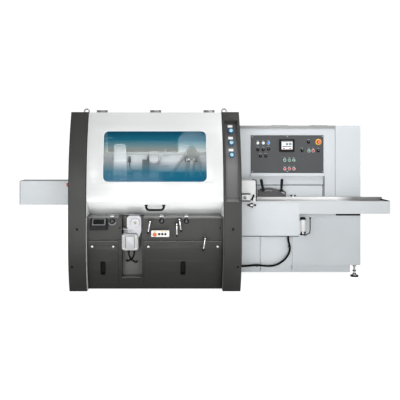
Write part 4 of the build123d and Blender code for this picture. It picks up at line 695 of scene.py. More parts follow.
def collar(form, outer, inner, height, place, axis=forward, steps=24):
    """Flat collar with softened rims, open in the middle."""
    soft = min(0.3 * height, 0.2 * (outer - inner))
    turned(form, [
        (outer, 0), (outer, height - soft), (outer - soft, height),
        (inner + soft, height), (inner, height - soft), (inner, 0),
    ], place, axis, steps, False)


def cap_screw(form, radius, place, axis):
    """Cap screw with a six-sided socket."""
    turned(form, [
        (radius, 0), (radius, 0.6 * radius), (0.88 * radius, 0.75 * radius),
        (0.6 * radius, 0.75 * radius, 6), (0.57 * radius, 0.3 * radius, 6),
    ], place, axis, 12)


def screws(name, radius, places, axis=forward, material=zinc_steel, body="frame"):
    """A set of cap screws on one body."""
    shapes = [(cap_screw, radius, spot, axis) for spot in places]
    piece(name, material, *shapes, slot="steel", body=body)


def grid(columns, y, rows):
    """Places in columns and rows on an upright face."""
    return [(x, y, z) for x in columns for z in rows]


def bolt_circle(middle, radius, count, start):
    """Places spread evenly on a circle that faces the front."""
    turns = [start + 2 * pi * k / count for k in range(count)]
    return [middle + Vector((radius * cos(t), 0, radius * sin(t))) for t in turns]


# %% [markdown]
# ## The bowed front
# Pillars, hood and lower panels share one bowed profile: a large radius above, straight in the
# middle and a smaller radius below. Pieces that sit on it need the same curve, so it is written
# once here, with the way up along the surface, which turns each plate square to the skin.

# %% Points on the bow
bow_front = -0.75
upper_start, upper_radius = 0.9, 1.8
lower_start, lower_radius = 0.45, 1.17


def bow(z, inset=0.0):
    """Depth of the bowed front at a height, set back by an inset."""
    if z > upper_start:
        reach = sqrt((upper_radius - inset) ** 2 - (z - upper_start) ** 2)
        return bow_front + upper_radius - reach
    if z < lower_start:
        reach = sqrt((lower_radius - inset) ** 2 - (z - lower_start) ** 2)
        return bow_front + lower_radius - reach
    return bow_front + inset


def on_bow(x, z, inset, proud=0.0):
    """Place on the bowed front and the way up along it."""
    rise = 0.0
    if z > upper_start:
        rise = (z - upper_start) / (upper_radius - inset)
    elif z < lower_start:
        rise = (z - lower_start) / (lower_radius - inset)
    level = sqrt(1 - rise * rise)
    place = Vector((x, bow(z, inset), z)) + Vector((0, -level, rise)) * proud
    return place, Vector((0, rise, level))


def bow_sheet(form, sides, span, insets, steps=18):
    """Thin sheet that follows the bow between two heights."""
    loops = []
    for k in range(steps + 1):
        z = span[0] + (span[1] - span[0]) * k / steps
        front, back = (bow(z, inset) for inset in insets)
        corners = ((sides[0], front), (sides[1], front), (sides[1], back), (sides[0], back))
        loops.append([(x, y, z) for x, y in corners])
    skin(form, loops)


# %% [markdown]
# ## Pillar fittings
# The infeed pillar carries three pressure gauges in a long recess, each under a plain plate. Black
# plugs close the fixing holes. The wall beside the lower panels is lined in white on the outfeed
# side, and in grey on the other, which paints the same lining in shade. Thin sheets in the gauge
# recess paint its shade, darkest at the top, and paint light on its side wall and lower slope.

# %% Gauge faces, needles and plates
gauge_x, recess_depth = 0.231, 0.04
gauge_heights = (1.547, 1.431, 1.315)


def pointer(form, face, up, degrees, reach, proud, size, depth, corner):
    """Thin plate that points outwards from the middle of a round face."""
    out = across.cross(up)
    spoke = across * cos(radians(degrees)) + up * sin(radians(degrees))
    place = face + spoke * reach + out * proud
    plate(form, place, size, depth, corner, out.cross(spoke) * -1, spoke)


for number, z in enumerate(gauge_heights, start=1):
    face, up = on_bow(gauge_x, z, recess_depth, 0.0195)
    out = across.cross(up)
    piece(f"gauge_face_{number}", gauge_pale,
          (turned, [(0.0237, 0), (0.0237, 0.0006), (0.0225, 0.0009)], face, out, 32))
    piece(f"gauge_rim_{number}", gauge_blue, (collar, 0.0272, 0.0172, 0.005, face, out, 40))
    piece(f"gauge_ticks_{number}", screen_black,
          *[(pointer, face, up, 225 - 33.75 * k, 0.0145, 0.0008, (0.0009, 0.003), 0.0004, 0.0002)
            for k in range(9)])
    piece(f"gauge_needle_{number}", stop_red,
          (pointer, face, up, 140 - 25 * number, 0.004, 0.001, (0.0012, 0.017), 0.0006, 0.0004),
          (button, 0.003, 0.0022, face + out * 0.0009, out, 16))
    spot, up = on_bow(gauge_x - 0.005, z + 0.049, recess_depth)
    piece(f"gauge_plate_{number}", label_white,
          (plate, spot, (0.046, 0.026), 0.0012, 0.002, across, up))
print("gauges", len(gauge_heights))

# %% Plugs, wall linings and the gauge recess
fascia_front = -0.66
wall_span, wall_insets = (0.012, 0.718), (0.003, 0.066)
pillar_holes = ((-1.25, 0.611), (-1.301, 0.25), (0.233, 0.611), (0.281, 0.25))
plug_shapes = []
for x, z in pillar_holes:
    spot, up = on_bow(x, z, 0.0)
    plug_shapes.append((button, 0.011, 0.005, spot, across.cross(up), 20))
for x in (-0.85, 0.119):
    plug_shapes.append((button, 0.008, 0.004, (x, fascia_front, 0.612), forward, 20))
piece("hole_plugs", black_rubber, *plug_shapes)
piece("left_wall_lining", label_white, (bow_sheet, (-1.1645, -1.1633), wall_span, wall_insets))
# Grey lining: the same lining as the white one, painted in shade.
piece("right_wall_lining", bezel_grey, (bow_sheet, (0.1445, 0.1433), wall_span, wall_insets))
# Sheets in the gauge recess: the floor carries painted shade, and the side wall and sloping sill
# paint light where the recess lies in shade.
piece("gauge_recess_floor", recess_shade_paint,
      (bow_sheet, (0.1685, 0.2935), (0.904, 1.622), (recess_depth - 0.001, recess_depth), 24))
piece("gauge_recess_wall", liner_light_grey,
      (bow_sheet, (0.294, 0.293), (0.905, 1.615), (0.003, recess_depth - 0.001)))
sill_foot, sill_top = on_bow(gauge_x, 0.872, 0.0)[0], on_bow(gauge_x, 0.902, recess_depth)[0]
piece("gauge_recess_sill", painted_light_grey,
      (plate, (sill_foot + sill_top) / 2, (0.124, 0.048), 0.001, 0.002, across,
       sill_top - sill_foot))
print("plugs", len(plug_shapes))

# %% [markdown]
# ## Hood fittings
# A white bead holds the pane in its opening, a folded plate stiffens the lip behind the handle, and
# cap screws hold the hinge leaves. The lip turns down into shade, so a thin sheet of a lighter white
# paints light onto it; the bead and the plate share that lighter white. All of them ride on the
# hood, apart from the screws in the fixed leaves.

# %% Window bead
hood_middle = -0.51
window_middle = (window_low + window_high) / 2
outline = rounded(0.9945, pane_height - 0.0035, 0.0485, 6)
rim = []
for (x0, z0), (x1, z1) in zip(outline, outline[1:] + outline[:1]):
    pieces = max(1, int(abs(z1 - z0) / 0.03))
    for k in range(pieces):
        z = window_middle + z0 + (z1 - z0) * k / pieces
        rim.append((hood_middle + x0 + (x1 - x0) * k / pieces, bow(z, 0.0105), z))
bead("window_bead", lighter_lip_white, rim, 0.0022, True, body="hood")
print("window bead points", len(rim))

# %% Lip light sheet, handle plate, handle feet and hinge screws
crease, fall = Vector((0, -0.742, 0.875)), Vector((0, 0.89, -0.4556))
lip_out = Vector((0, -0.4556, -0.89))
hinges, leaf_top = (-0.995, -0.025), 1.743


def lip_spot(aside, run, proud=0.0):
    """Point on the folded lip: aside of its middle, down its fall and proud of it."""
    return Vector((hood_middle + aside, 0, 0)) + crease + fall * run + lip_out * proud


def lip_plate(form, halves, span, depth):
    """Folded plate on the lip, with a half width for its upper and for its lower edge."""
    loops = []
    for proud, shrink in ((0, 0), (depth * 0.6, 0), (depth, 0.0015)):
        near = halves[0] - shrink, span[0] + shrink
        far = halves[1] - shrink, span[1] - shrink
        corners = ((-1, *near), (-1, *far), (1, *far), (1, *near))
        loops.append([lip_spot(side * half, run, proud) for side, half, run in corners])
    skin(form, loops)


# Thin sheet of the lighter white over the lip, painting light where the lip lies in shade.
piece("lip_face", lighter_lip_white, (lip_plate, (0.646, 0.646), (0.003, 0.324), 0.0006), body="hood")
piece("handle_plate", lighter_lip_white, (lip_plate, (0.105, 0.152), (0.165, 0.326), 0.0025), body="hood")
piece("handle_feet", black_plastic,
      *[(collar, 0.017, 0.0112, 0.004, lip_spot(aside, 0.095), lip_out)
        for aside in (-0.085, 0.085)], body="hood")
for name, body, y, aside in (
    ("hood_leaf_screws", "hood", -0.088, 0.018), ("roof_leaf_screws", "frame", -0.03, 0.06),
):
    columns = [x + side * aside for x in hinges for side in (-1, 1)]
    screws(name, 0.0055, grid(columns, y, (leaf_top,)), upward, body=body)
print("hinges", len(hinges))

# %% [markdown]
# ## Feed beam
# Behind the window the beam carries a gear case, a spring bracket and a small oil valve. Cap
# screws and seam rings are what shows of them through the pane; the dark ring round the gear case
# also paints the shade round its rim, and a bright strip along the beam's top edge paints the
# highlight that edge catches. All of them rise with the beam.

# %% Gear case, bracket bolts, valve and edge highlight
beam_front, valve_x = -0.3, -0.774
gear = Vector((-0.523, -0.3403, 1.275))
bracket_corners = (
    (-0.206, 1.239), (-0.072, 1.239), (-0.072, 1.33),
    (-0.12, 1.403), (-0.15, 1.403), (-0.206, 1.32),
)
seam_runs = ((-1.035, 0.135), (-0.705, 0.2), (-0.02, 0.1), (-0.33, 0.22))
pipe_bends = (
    (valve_x, 1.236), (-0.772, 1.19), (-0.762, 1.163),
    (-0.742, 1.15), (-0.7, 1.147), (-0.641, 1.147),
)
filler = [
    (0.012, 0), (0.012, 0.012), (0.006, 0.014), (0.006, 0.021),
    (0.0095, 0.023), (0.0095, 0.029), (0.004, 0.031),
]
screws("gear_screws", 0.0055, bolt_circle(gear, 0.073, 8, radians(22.5)), body="feed_beam")
# Dark seam rings on the gear case; the outer one also paints the shade round the case's rim.
piece("gear_seams", dark_casting,
      (collar, 0.0672, 0.0622, 0.002, gear, forward, 40),
      (collar, 0.052, 0.0475, 0.0012, gear + forward * 0.052, forward, 40), body="feed_beam")
piece("bracket_bolt_caps", zinc_steel,
      *[(button, 0.0108, 0.004, (x, -0.326, 1.262)) for x in (-0.166, -0.112)], body="feed_beam")
bead("bracket_edge", dark_casting,
     [(x, -0.3138, z) for x, z in bracket_corners], 0.0028, True, body="feed_beam")
piece("beam_seam", dark_casting,
      *[(plate, (x, beam_front, 1.318), (run, 0.004), 0.0008, 0.0018) for x, run in seam_runs],
      body="feed_beam")
screws("beam_screws", 0.006,
       grid((-0.425, -0.4, -0.375), beam_front, (1.303, 1.196)),
       material=dark_casting, body="feed_beam")
# Bright strip painting the highlight along the beam's top edge.
bead("beam_edge_strip", bright_chrome,
     [(x, beam_front + 0.001, 1.3385) for x in (-1.1, 0.08)], 0.0035, body="feed_beam")
piece("oil_valve", dark_casting,
      (plate, (valve_x, beam_front, 1.262), (0.03, 0.056), 0.024, 0.006),
      (button, 0.01, 0.012, (valve_x, -0.312, 1.289), upward), body="feed_beam")
bead("oil_pipe", black_rubber, [(x, -0.313, z) for x, z in pipe_bends], 0.004, body="feed_beam")
piece("oil_filler", zinc_steel, (turned, filler, (-0.408, -0.285, 1.34), upward), body="feed_beam")
print("seam runs", len(seam_runs), "pipe bends", len(pipe_bends))

# %% [markdown]
# ## Front controls
# Along the fascia sit a sloped readout, three dials with counters behind them, four clamp levers
# and a small box with a stop button. The CAD has their bodies; here they get faces, collars, caps,
# tips and plain plates, and pale arcs by the dials that stand for their scales and paint the
# highlight each dial catches.

# %% Readout, counters and dials
slope_up, slope_middle = Vector((0, 0.0747, 0.067)), Vector((-1.0485, -0.6975, 0.6745))
slope_out = across.cross(slope_up.normalized())
dial_places, dial_height, dial_front = (-0.9225, -0.4455, -0.2085), 0.679, -0.6942
scale_and_highlight_sweeps = ((200, 340), (35, 145), (35, 145))


def arc_plate(form, middle, radii, sweep, depth):
    """Part of a flat ring on the fascia, between two angles."""
    points = []
    for radius, step in ((radii[1], 1), (radii[0], -1)):
        for k in range(13)[::step]:
            angle = radians(sweep[0] + (sweep[1] - sweep[0]) * k / 12)
            points.append(Vector(middle) + Vector((radius * cos(angle), 0, radius * sin(angle))))
    skin(form, [points, [point + forward * depth for point in points]])


piece("readout_bezel", bezel_grey,
      (plate, slope_middle, (0.13, 0.084), 0.003, 0.006, across, slope_up))
piece("readout_screen", screen_black,
      (plate, slope_middle + slope_out * 0.003, (0.106, 0.064), 0.0012, 0.004, across, slope_up))
piece("counter_plates", label_white,
      *[(plate, (x, -0.655, 0.7232), (0.04, 0.0135), 0.001, 0.003) for x in dial_places],
      *[(plate, (x, -0.64, 0.735), (0.038, 0.018), 0.001, 0.003, *lying) for x in dial_places])
piece("dial_collars", dark_casting,
      *[(collar, 0.0325, 0.0268, 0.006, (x, fascia_front, dial_height), forward, 32)
        for x in dial_places])
# Pale arcs: scales on the fascia, placed so that they also paint each dial's highlight.
piece("dial_scales", bezel_grey,
      *[(arc_plate, (x, -0.6602, dial_height), (0.0335, 0.0415), sweep, 0.002)
        for x, sweep in zip(dial_places, scale_and_highlight_sweeps)])
for number, x in enumerate(dial_places, start=1):
    body = f"adjusting_dial_{number}"
    piece(f"dial_cap_{number}", panel_grey,
          (button, 0.011, 0.003, (x, dial_front, dial_height)), body=body)
    piece(f"dial_mark_{number}", label_white,
          (plate, (x, dial_front, dial_height + 0.0165), (0.0025, 0.006), 0.0006, 0.0008),
          body=body)
print("dials", len(dial_places))

# %% Clamp levers: black hubs and tips, chromed grips
hub_back, rod_plane, screw_back = -0.7195, -0.736, -0.7428
lever_seats = (
    (-0.5555, 0.684, -11), (-0.3015, 0.659, 0), (-0.2765, 0.703, 8), (-0.0305, 0.521, -10)
)
hub_cap = [(0.0145, 0), (0.0158, 0.001), (0.0158, 0.018), (0.0135, 0.0225), (0.006, 0.0236)]
grip = [(0.0056, 0.012), (0.0068, 0.016), (0.0072, 0.05), (0.0068, 0.097), (0.0056, 0.1)]
tip = [(0.0058, 0.097), (0.0082, 0.0995), (0.0094, 0.108), (0.0082, 0.118), (0.003, 0.1215)]
for number, (x, z, lean) in enumerate(lever_seats, start=1):
    body = f"clamp_lever_{number}"
    down = Vector((sin(radians(lean)), 0, -cos(radians(lean))))
    rod = Vector((x, rod_plane, z))
    piece(f"lever_hub_{number}", black_plastic, (turned, hub_cap, (x, hub_back, z), forward),
          body=body)
    piece(f"lever_tip_{number}", black_plastic, (turned, tip, rod, down), body=body)
    piece(f"lever_grip_{number}", lever_chrome, (turned, grip, rod, down), body=body)
    piece(f"lever_screw_{number}", lever_chrome,
          (button, 0.0078, 0.0035, (x, screw_back, z), forward, 20), slot="steel", body=body)
    piece(f"lever_collar_{number}", dark_casting,
          (collar, 0.0135, 0.0078, 0.012, (x, fascia_front, z)))
print("levers", len(lever_seats))

# %% Small control box
box_front, stop_x, stop_height = -0.7153, -0.5115, 0.557
button_places = (-0.4695, -0.4395, -0.4095)
piece("box_face", label_white, (plate, (-0.4595, box_front, 0.5655), (0.172, 0.061), 0.0015, 0.007))
piece("box_stop_collar", stop_yellow,
      (collar, 0.0208, 0.0125, 0.0072, (stop_x, box_front, stop_height), forward, 32))
piece("box_marks", stop_yellow,
      *[(plate, (x, box_front - 0.0015, 0.586), (0.02, 0.009), 0.0006, 0.002)
        for x in (stop_x, *button_places[1:])])
piece("box_button_caps", black_plastic,
      *[(button, 0.0095, 0.0128, (x, box_front, 0.561), forward, 20) for x in button_places])
piece("front_stop_cap", stop_red,
      (collar, 0.0165, 0.013, 0.006, (stop_x, -0.7305, stop_height), forward, 32),
      body="front_stop")
print("box buttons", len(button_places))

# %% Ledge light tread and highlight bead
# The tread is a paler sheet that paints light onto the ledge in the lip's shade, and the bead along
# the fascia's top edge paints the highlight that the edge catches.
for side, low, high in (("left", -1.1625, -0.8635), ("right", -0.6195, 0.1425)):
    piece(f"{side}_ledge_tread", tread_light_grey,
          (plate, ((low + high) / 2, -0.55, 0.715), (high - low, 0.206), 0.0012, 0.004, *lying))
    bead(f"{side}_ledge_nosing", painted_light_grey, [(x, -0.6605, 0.7105) for x in (low, high)], 0.0042)
    print(side, "ledge", round(high - low, 3), "m long")

# %% [markdown]
# ## Lift gearmotor
# The gearbox has a round bearing cover with its screws and a centre bolt. The terminal box is
# closed by a lid with a raised middle between grooves, on a black seal, and the leads leave through
# two glands. A paler sheet on the back of the recess and a paler plate on its floor paint light
# where the recess lies in shade.

# %% Bearing cover, terminal lid, glands and recess
boss, lid = Vector((-0.69862, -0.738, 0.671)), Vector((-0.7475, -0.73, 0.4865))
lid_front = lid + forward * 0.0029
flange = Vector((-0.7475, -0.622, 0.588))
recess_x, recess_wall, eighth_turn = -0.733, -0.54, 0.785
centre_bolt = [(0.0125, 0, 6), (0.0125, 0.006, 6), (0.011, 0.0075), (0.004, 0.008)]
gland = [
    (0.014, 0, 6), (0.014, 0.009, 6), (0.0115, 0.0105),
    (0.0125, 0.013), (0.0125, 0.019), (0.0092, 0.022),
]
# Black ring at the bearing cover's joint, widened and darkened to paint the shadow under the cover.
piece("bearing_seam", black_rubber,
      (collar, 0.0455, 0.0431, 0.0022, boss + rearward * 0.014, forward, 40))
screws("bearing_screws", 0.0045, bolt_circle(boss, 0.034, 4, eighth_turn))
piece("centre_bolt", bolt_bronze, (turned, centre_bolt, boss + forward * 0.005, forward, 12))
piece("lid_panel", lid_grey, (plate, lid, (0.132, 0.135), 0.003, 0.02))
piece("lid_centre", motor_silver, (plate, lid_front, (0.08, 0.112), 0.006, 0.008))
piece("lid_grooves", dark_casting,
      *[(plate, lid_front + across * a, (0.0045, 0.112), 0.0004, 0.002)
        for a in (-0.0445, 0.0445)],
      (plate, lid_front + upward * 0.06, (0.094, 0.0045), 0.0004, 0.002))
screws("lid_screws", 0.0055,
       [lid_front + Vector(spot) for spot in grid((-0.056, 0.056), 0, (-0.058, 0.058))])
bead("lid_seal", black_rubber,
     [lid + Vector((a, 0.016, b)) for a, b in rounded(0.1505, 0.1535, 0.0275, 6)], 0.0024, True)
piece("lead_glands", black_plastic,
      *[(turned, gland, (x, y, 0.4055), -upward)
        for x, y in ((-0.7615, -0.704), (-0.7075, -0.69))])
turns = [2 * pi * k / 32 for k in range(32)]
bead("motor_flange_seal", black_rubber,
     [flange + Vector((cos(turn), sin(turn), 0)) * 0.0705 for turn in turns], 0.003, True)
# Paler sheet and plate painting light onto the back and floor of the shaded recess.
piece("recess_liner", liner_light_grey,
      (plate, (recess_x, recess_wall, 0.4225), (0.19, 0.574), 0.001, 0.003))
piece("recess_sill", painted_light_grey,
      (plate, (recess_x, -0.601, 0.133), (0.19, 0.114), 0.001, 0.003, *lying))
print("terminal lid at", [round(c, 3) for c in lid])

# %% [markdown]
# ## Lower panels
# Each panel is drawn open by a black moulded cup let into the sheet, and held by two chromed
# turn-knobs with domed crowns. A pale bead along its top paints the highlight that the edge catches.

# %% Pull cups, knob crowns and panel edge highlights
def cup(form, place, up, size, rim, depth):
    """Moulded cup: a thin rim on the panel and a well behind it."""
    out = across.cross(up)
    loops = []
    for grow, height in (
        (rim, 0), (rim, 0.0015), (rim - 0.001, 0.0025),
        (-0.0012, 0.0025), (-0.0025, -0.002), (-0.004, -depth),
    ):
        outline = rounded(size[0] + 2 * grow, size[1] + 2 * grow, 0.01 + grow)
        loops.append([place + across * a + up * b + out * height for a, b in outline])
    skin(form, loops, False)
    form.faces.new([form.verts.new(point) for point in loops[-1]])


crown = [
    (0.0128, 0), (0.0126, 0.0012), (0.0112, 0.0036),
    (0.008, 0.0056), (0.004, 0.0066), (0.001, 0.0069),
]
cup_height, knob_height, edge_height = 0.224, 0.438, 0.4868
knobs = {
    "left_door_knob_1": -1.1125, "left_door_knob_2": -0.9105,
    "right_door_knob_1": -0.5725, "right_door_knob_2": 0.0925,
}
for side, x in (("left", -1.0115), ("right", -0.24)):
    spot, up = on_bow(x, cup_height, 0.07)
    piece(f"{side}_pull_cup", black_plastic,
          (cup, spot, up, (0.042, 0.132), 0.004, 0.027), body=f"{side}_door")
for knob, x in knobs.items():
    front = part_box(knob)[0][1]
    piece(f"{knob}_crown", lever_chrome,
          (turned, crown, (x, front, knob_height), forward, 32), body=knob)
# Pale bead painting the highlight along each panel's top edge.
for side, ends in (("left", (-1.1565, -0.8665)), ("right", (-0.6165, 0.1365))):
    bead(f"{side}_panel_edge", painted_light_grey,
         [(x, -0.6785, edge_height) for x in ends], 0.0022, body=f"{side}_door")
print("knob crowns", len(knobs))

# %% [markdown]
# ## Control panel
# Lamps, push buttons and selectors stand in plated rings on the dark panel, each under a plain
# plate. The touch screen shows a generic layout of blocks.

# %% Lamps, buttons, selectors and plates
panel_corner = Vector((0.5105, -0.0626, 1.115))
lamps = ((0.073, 0.319), (0.131, 0.319), (0.187, 0.319))
greens = ((0.361, 0.136), (0.41, 0.136), (0.458, 0.136), (0.619, 0.236))
reds = ((0.361, 0.044), (0.41, 0.044), (0.458, 0.044), (0.665, 0.236))
selectors = (
    (0.073, 0.249), (0.131, 0.249), (0.187, 0.255), (0.1, 0.18),
    (0.158, 0.18), (0.615, 0.33), (0.546, 0.24), (0.718, 0.236),
)


def on_panel(spots, proud=0.0, higher=0.0):
    """Places in front of the control panel, from spots given from its lower left corner."""
    return [panel_corner + Vector((a, -proud, b + higher)) for a, b in spots]


for name, material, spots in (
    ("lamp_lenses", lamp_clear, lamps[:2]), ("blue_lens", lamp_blue, lamps[2:]),
    ("start_caps", start_green, greens), ("halt_caps", halt_red, reds),
):
    piece(name, material, *[(button, 0.0128, 0.0125, place) for place in on_panel(spots, 0.0035)])
piece("control_rings", zinc_steel,
      *[(collar, 0.0168, 0.0129, 0.005, place) for place in on_panel(lamps + greens + reds)])
piece("selector_rings", black_plastic,
      *[(collar, 0.0172, 0.0118, 0.0055, place) for place in on_panel(selectors)])
piece("selector_marks", label_white,
      *[(plate, place, (0.0028, 0.009), 0.0005, 0.001)
        for place in on_panel(selectors, 0.018, 0.0055)])
piece("control_plates", bezel_grey,
      *[(plate, place, (0.026, 0.009), 0.0008, 0.002)
        for place in on_panel(lamps + greens + reds + selectors, -0.0003, 0.0265)])
piece("panel_stop_collar", stop_yellow,
      (collar, 0.0328, 0.0125, 0.0068, (1.2305, -0.0623, 1.446), forward, 40))
screw_spots = [(a, b) for a in (0.014, 0.388, 0.762) for b in (0.014, 0.388)]
screws("panel_screws", 0.0045, on_panel(screw_spots, -0.0003))
print("controls", len(lamps + greens + reds + selectors))

# %% Touch screen
glass = Vector((0.893, -0.0786, 1.4105))


def block(x, z, width, height, corner):
    """Flat block on the screen, from the middle of the glass."""
    return plate, glass + Vector((x, -0.0008, z)), (width, height), 0.0003, corner


tiles = [
    block(0, 0.037, 0.108, 0.009, 0.001), block(0, 0.012, 0.028, 0.022, 0.002),
    block(0.034, 0.012, 0.028, 0.022, 0.002), block(-0.002, -0.012, 0.096, 0.012, 0.001),
]
piece("screen_glass", screen_pale, (plate, glass, (0.116, 0.088), 0.0008, 0.002))
piece("screen_tiles", screen_tile, *tiles)
piece("screen_keys", halt_red, *[block(x, -0.034, 0.024, 0.011, 0.002) for x in (-0.034, 0.034)])
print("screen tiles", len(tiles))

# %% [markdown]
# ## Cabinet
# A grey band runs along the top, a black strip and a dark trim paint the shadow in the gap beside
# the recessed door, a black seal closes the gap along its foot, and the roof vents are slotted.

# %% Band, seals, vents and rear screws
back_face, roof_vents = 0.75, (0.8715, 1.3115)
piece("cabinet_band", band_grey, (plate, (0.866, -0.07, 1.6045), (1.092, 0.0325), 0.001, 0.002))
# Black strip and dark trim painting the shadow in the gap beside the recessed door.
piece("door_gap_seal", black_rubber, (plate, (1.2825, -0.044, 0.924), (0.0074, 0.12), 0.002, 0.002))
piece("recess_trim", panel_grey, (plate, (1.2955, -0.05, 0.9765), (0.01, 0.226), 0.0012, 0.002))
bead("recess_seal", black_rubber, [(x, -0.0505, 0.984) for x in (0.507, 1.29)], 0.0035)
piece("vent_slots", screen_black,
      *[(plate, (x, 0.24 + 0.018 * k, 1.635), (0.118, 0.008), 0.0006, 0.003, *lying)
        for x in roof_vents for k in range(-3, 4)])
screws("cabinet_rear_screws", 0.006,
       grid((0.36, 0.8, 1.2, 1.64), back_face, (0.17, 0.65, 1.12, 1.58)), rearward)
screws("cover_rear_screws", 0.006,
       grid((-1.13, -0.71, -0.29, 0.11), back_face, (0.05, 0.6, 1.15, 1.7)), rearward)
print("roof vents", len(roof_vents))

# %% [markdown]
# ## Back and ends
# Service panels close the back and both ends. They are flat pressed sheets with rounded corners and
# quarter-turn locks, and rows of louvres, pressed out of the sheet with their mouths down, let warm
# air out.

# %% Service panels, louvres and locks
lock = [
    (0.016, 0), (0.016, 0.002), (0.0125, 0.0035),
    (0.0125, 0.0035), (0.007, 0.0035, 4), (0.0068, 0.0018, 4),
]


def louvre(form, place, width, right):
    """One pressed louvre: a sloping hood with tapered ends and a mouth below."""
    out = right.cross(upward)
    loops = []
    for share, rise in ((-0.5, 0.1), (-0.47, 1), (0.47, 1), (0.5, 0.1)):
        section = (
            (0.009, 0.0002), (0.003, 0.0045 * rise), (-0.007, 0.0065 * rise),
            (-0.009, 0.0045 * rise), (-0.009, 0.0002),
        )
        middle = place + right * share * width
        loops.append([middle + upward * a + out * b for a, b in section])
    skin(form, loops)


def service_panel(name, material, middle, size, right, rows):
    """Sheet panel with a lock at each side and louvre rows given as a height and a count."""
    out = right.cross(upward)
    face = Vector(middle) + out * 0.0014
    levels = [rise - 0.03 * k for rise, count in rows for k in range(count)]
    piece(name, material, (plate, middle, size, 0.0015, 0.018, right),
          *[(louvre, face + upward * level, size[0] * 0.62, right) for level in levels])
    piece(f"{name}_locks", zinc_steel,
          *[(turned, lock, face + right * side * (size[0] / 2 - 0.035), out) for side in (-1, 1)])
    print(name, "louvres", len(levels))


for number, x in enumerate((-0.92, -0.5, -0.09), start=1):
    service_panel(f"rear_panel_{number}", charcoal, (x, back_face, 0.875), (0.384, 1.59),
                  -across, ((0.66, 8), (-0.4, 8)))
service_panel("cabinet_rear_panel", pale_grey, (1.0, back_face, 0.855), (1.15, 1.33),
              -across, ((0.52, 7), (-0.3, 7)))
service_panel("outfeed_side_panel", charcoal, (-1.3375, 0.33, 0.875), (0.7, 1.5),
              forward, ((-0.36, 6),))
service_panel("cabinet_end_panel", pale_grey, (1.679, 0.37, 0.9), (0.64, 1.24),
              rearward, ((0.5, 6), (-0.34, 6)))

# %% [markdown]
# ## Infeed
# A black edging guards the mouth of the cover, the side guide has its bolt and clamp, the star knob
# a pale cap, and a rubber strip ends the table. The hand pump has a black cap and base, and the
# conduit is held by two clips. A black strip paints the shadow under the table, and a black bead
# paints the dark gap and shadow under the side box.

# %% Cover edging, guide, knobs and table end
guide_x, guide_front, clamp_y = 0.4108, -0.3918, -0.372
star_knob = Vector((0.4705, -0.3635, 0.801))
mouth_bends = ((-0.3505, 0.843), (-0.3505, 1.0475), (-0.347, 1.0505), (-0.114, 1.0505))
guide_bolt = [(0.0135, 0), (0.0135, 0.012), (0.012, 0.0135), (0.008, 0.0135, 6), (0.0075, 0.007, 6)]
clamp_stud = [(0.007, 0), (0.007, 0.013), (0.0115, 0.014), (0.0115, 0.024), (0.009, 0.026)]
clamp_grip = [(0.006, 0), (0.008, 0.012), (0.0098, 0.042), (0.0088, 0.05), (0.003, 0.053)]
wing = [
    (0.0062, 0), (0.0062, 0.008), (0.0088, 0.014),
    (0.0098, 0.02), (0.0082, 0.0265), (0.003, 0.029),
]
knob_boss = [(0.019, 0), (0.019, 0.006), (0.013, 0.009), (0.013, 0.017), (0.006, 0.0195)]
bead("mouth_edging", black_rubber, [(0.5185, y, z) for y, z in mouth_bends], 0.0045)
piece("guide_bolt", black_rubber,
      (turned, guide_bolt, (0.3978, guide_front, 0.88), forward),
      (plate, (guide_x, -0.371, 0.912), (0.091, 0.044), 0.007, 0.003, *lying),
      (plate, (guide_x, guide_front, 0.8465), (0.091, 0.011), 0.002, 0.003))
piece("guide_clamp", black_plastic,
      (turned, clamp_stud, (0.4558, clamp_y, 0.858), across),
      (turned, clamp_grip, (0.4738, clamp_y, 0.86), (0.36, -0.1, 0.93)))
piece("star_knob_cap", label_white,
      (plate, star_knob + forward * 0.0087, (0.036, 0.018), 0.004, 0.0085), body="infeed_knob")
piece("star_knob_wings", black_rubber,
      *[(turned, wing, star_knob + across * side * 0.016, across * side) for side in (-1, 1)],
      body="infeed_knob")
piece("table_end_strip", black_rubber,
      (plate, (1.866, -0.249, 0.84), (0.034, 0.196), 0.006, 0.006, *lying))
rail_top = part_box("infeed_table")[1][2]
rail_knob = Vector((0.945, -0.1325, rail_top))
piece("rail_knob_boss", bright_chrome, (turned, knob_boss, rail_knob, upward))
piece("rail_knob_wings", black_plastic,
      *[(button, 0.009, 0.016, rail_knob + Vector((side * 0.013, 0, 0.0135)), across * side)
        for side in (1, -1)])
print("rail top at", round(rail_top, 3))

# %% Fence handle grips
sleeve = [
    (0.0098, 0.0165), (0.0125, 0.019), (0.0138, 0.05),
    (0.0152, 0.098), (0.0138, 0.112), (0.006, 0.1195),
]
handle_height = 0.938
for number, (x, lean) in enumerate(((0.6235, -11), (0.8145, 3)), start=1):
    along = Vector((sin(radians(lean)), 0, cos(radians(lean))))
    piece(f"fence_grip_{number}", black_plastic,
          (turned, sleeve, (x, -0.1613, handle_height), along),
          (button, 0.0125, 0.004, (x, -0.1753, handle_height)), body=f"fence_handle_{number}")
    print("fence grip", number, "leans", lean, "degrees")

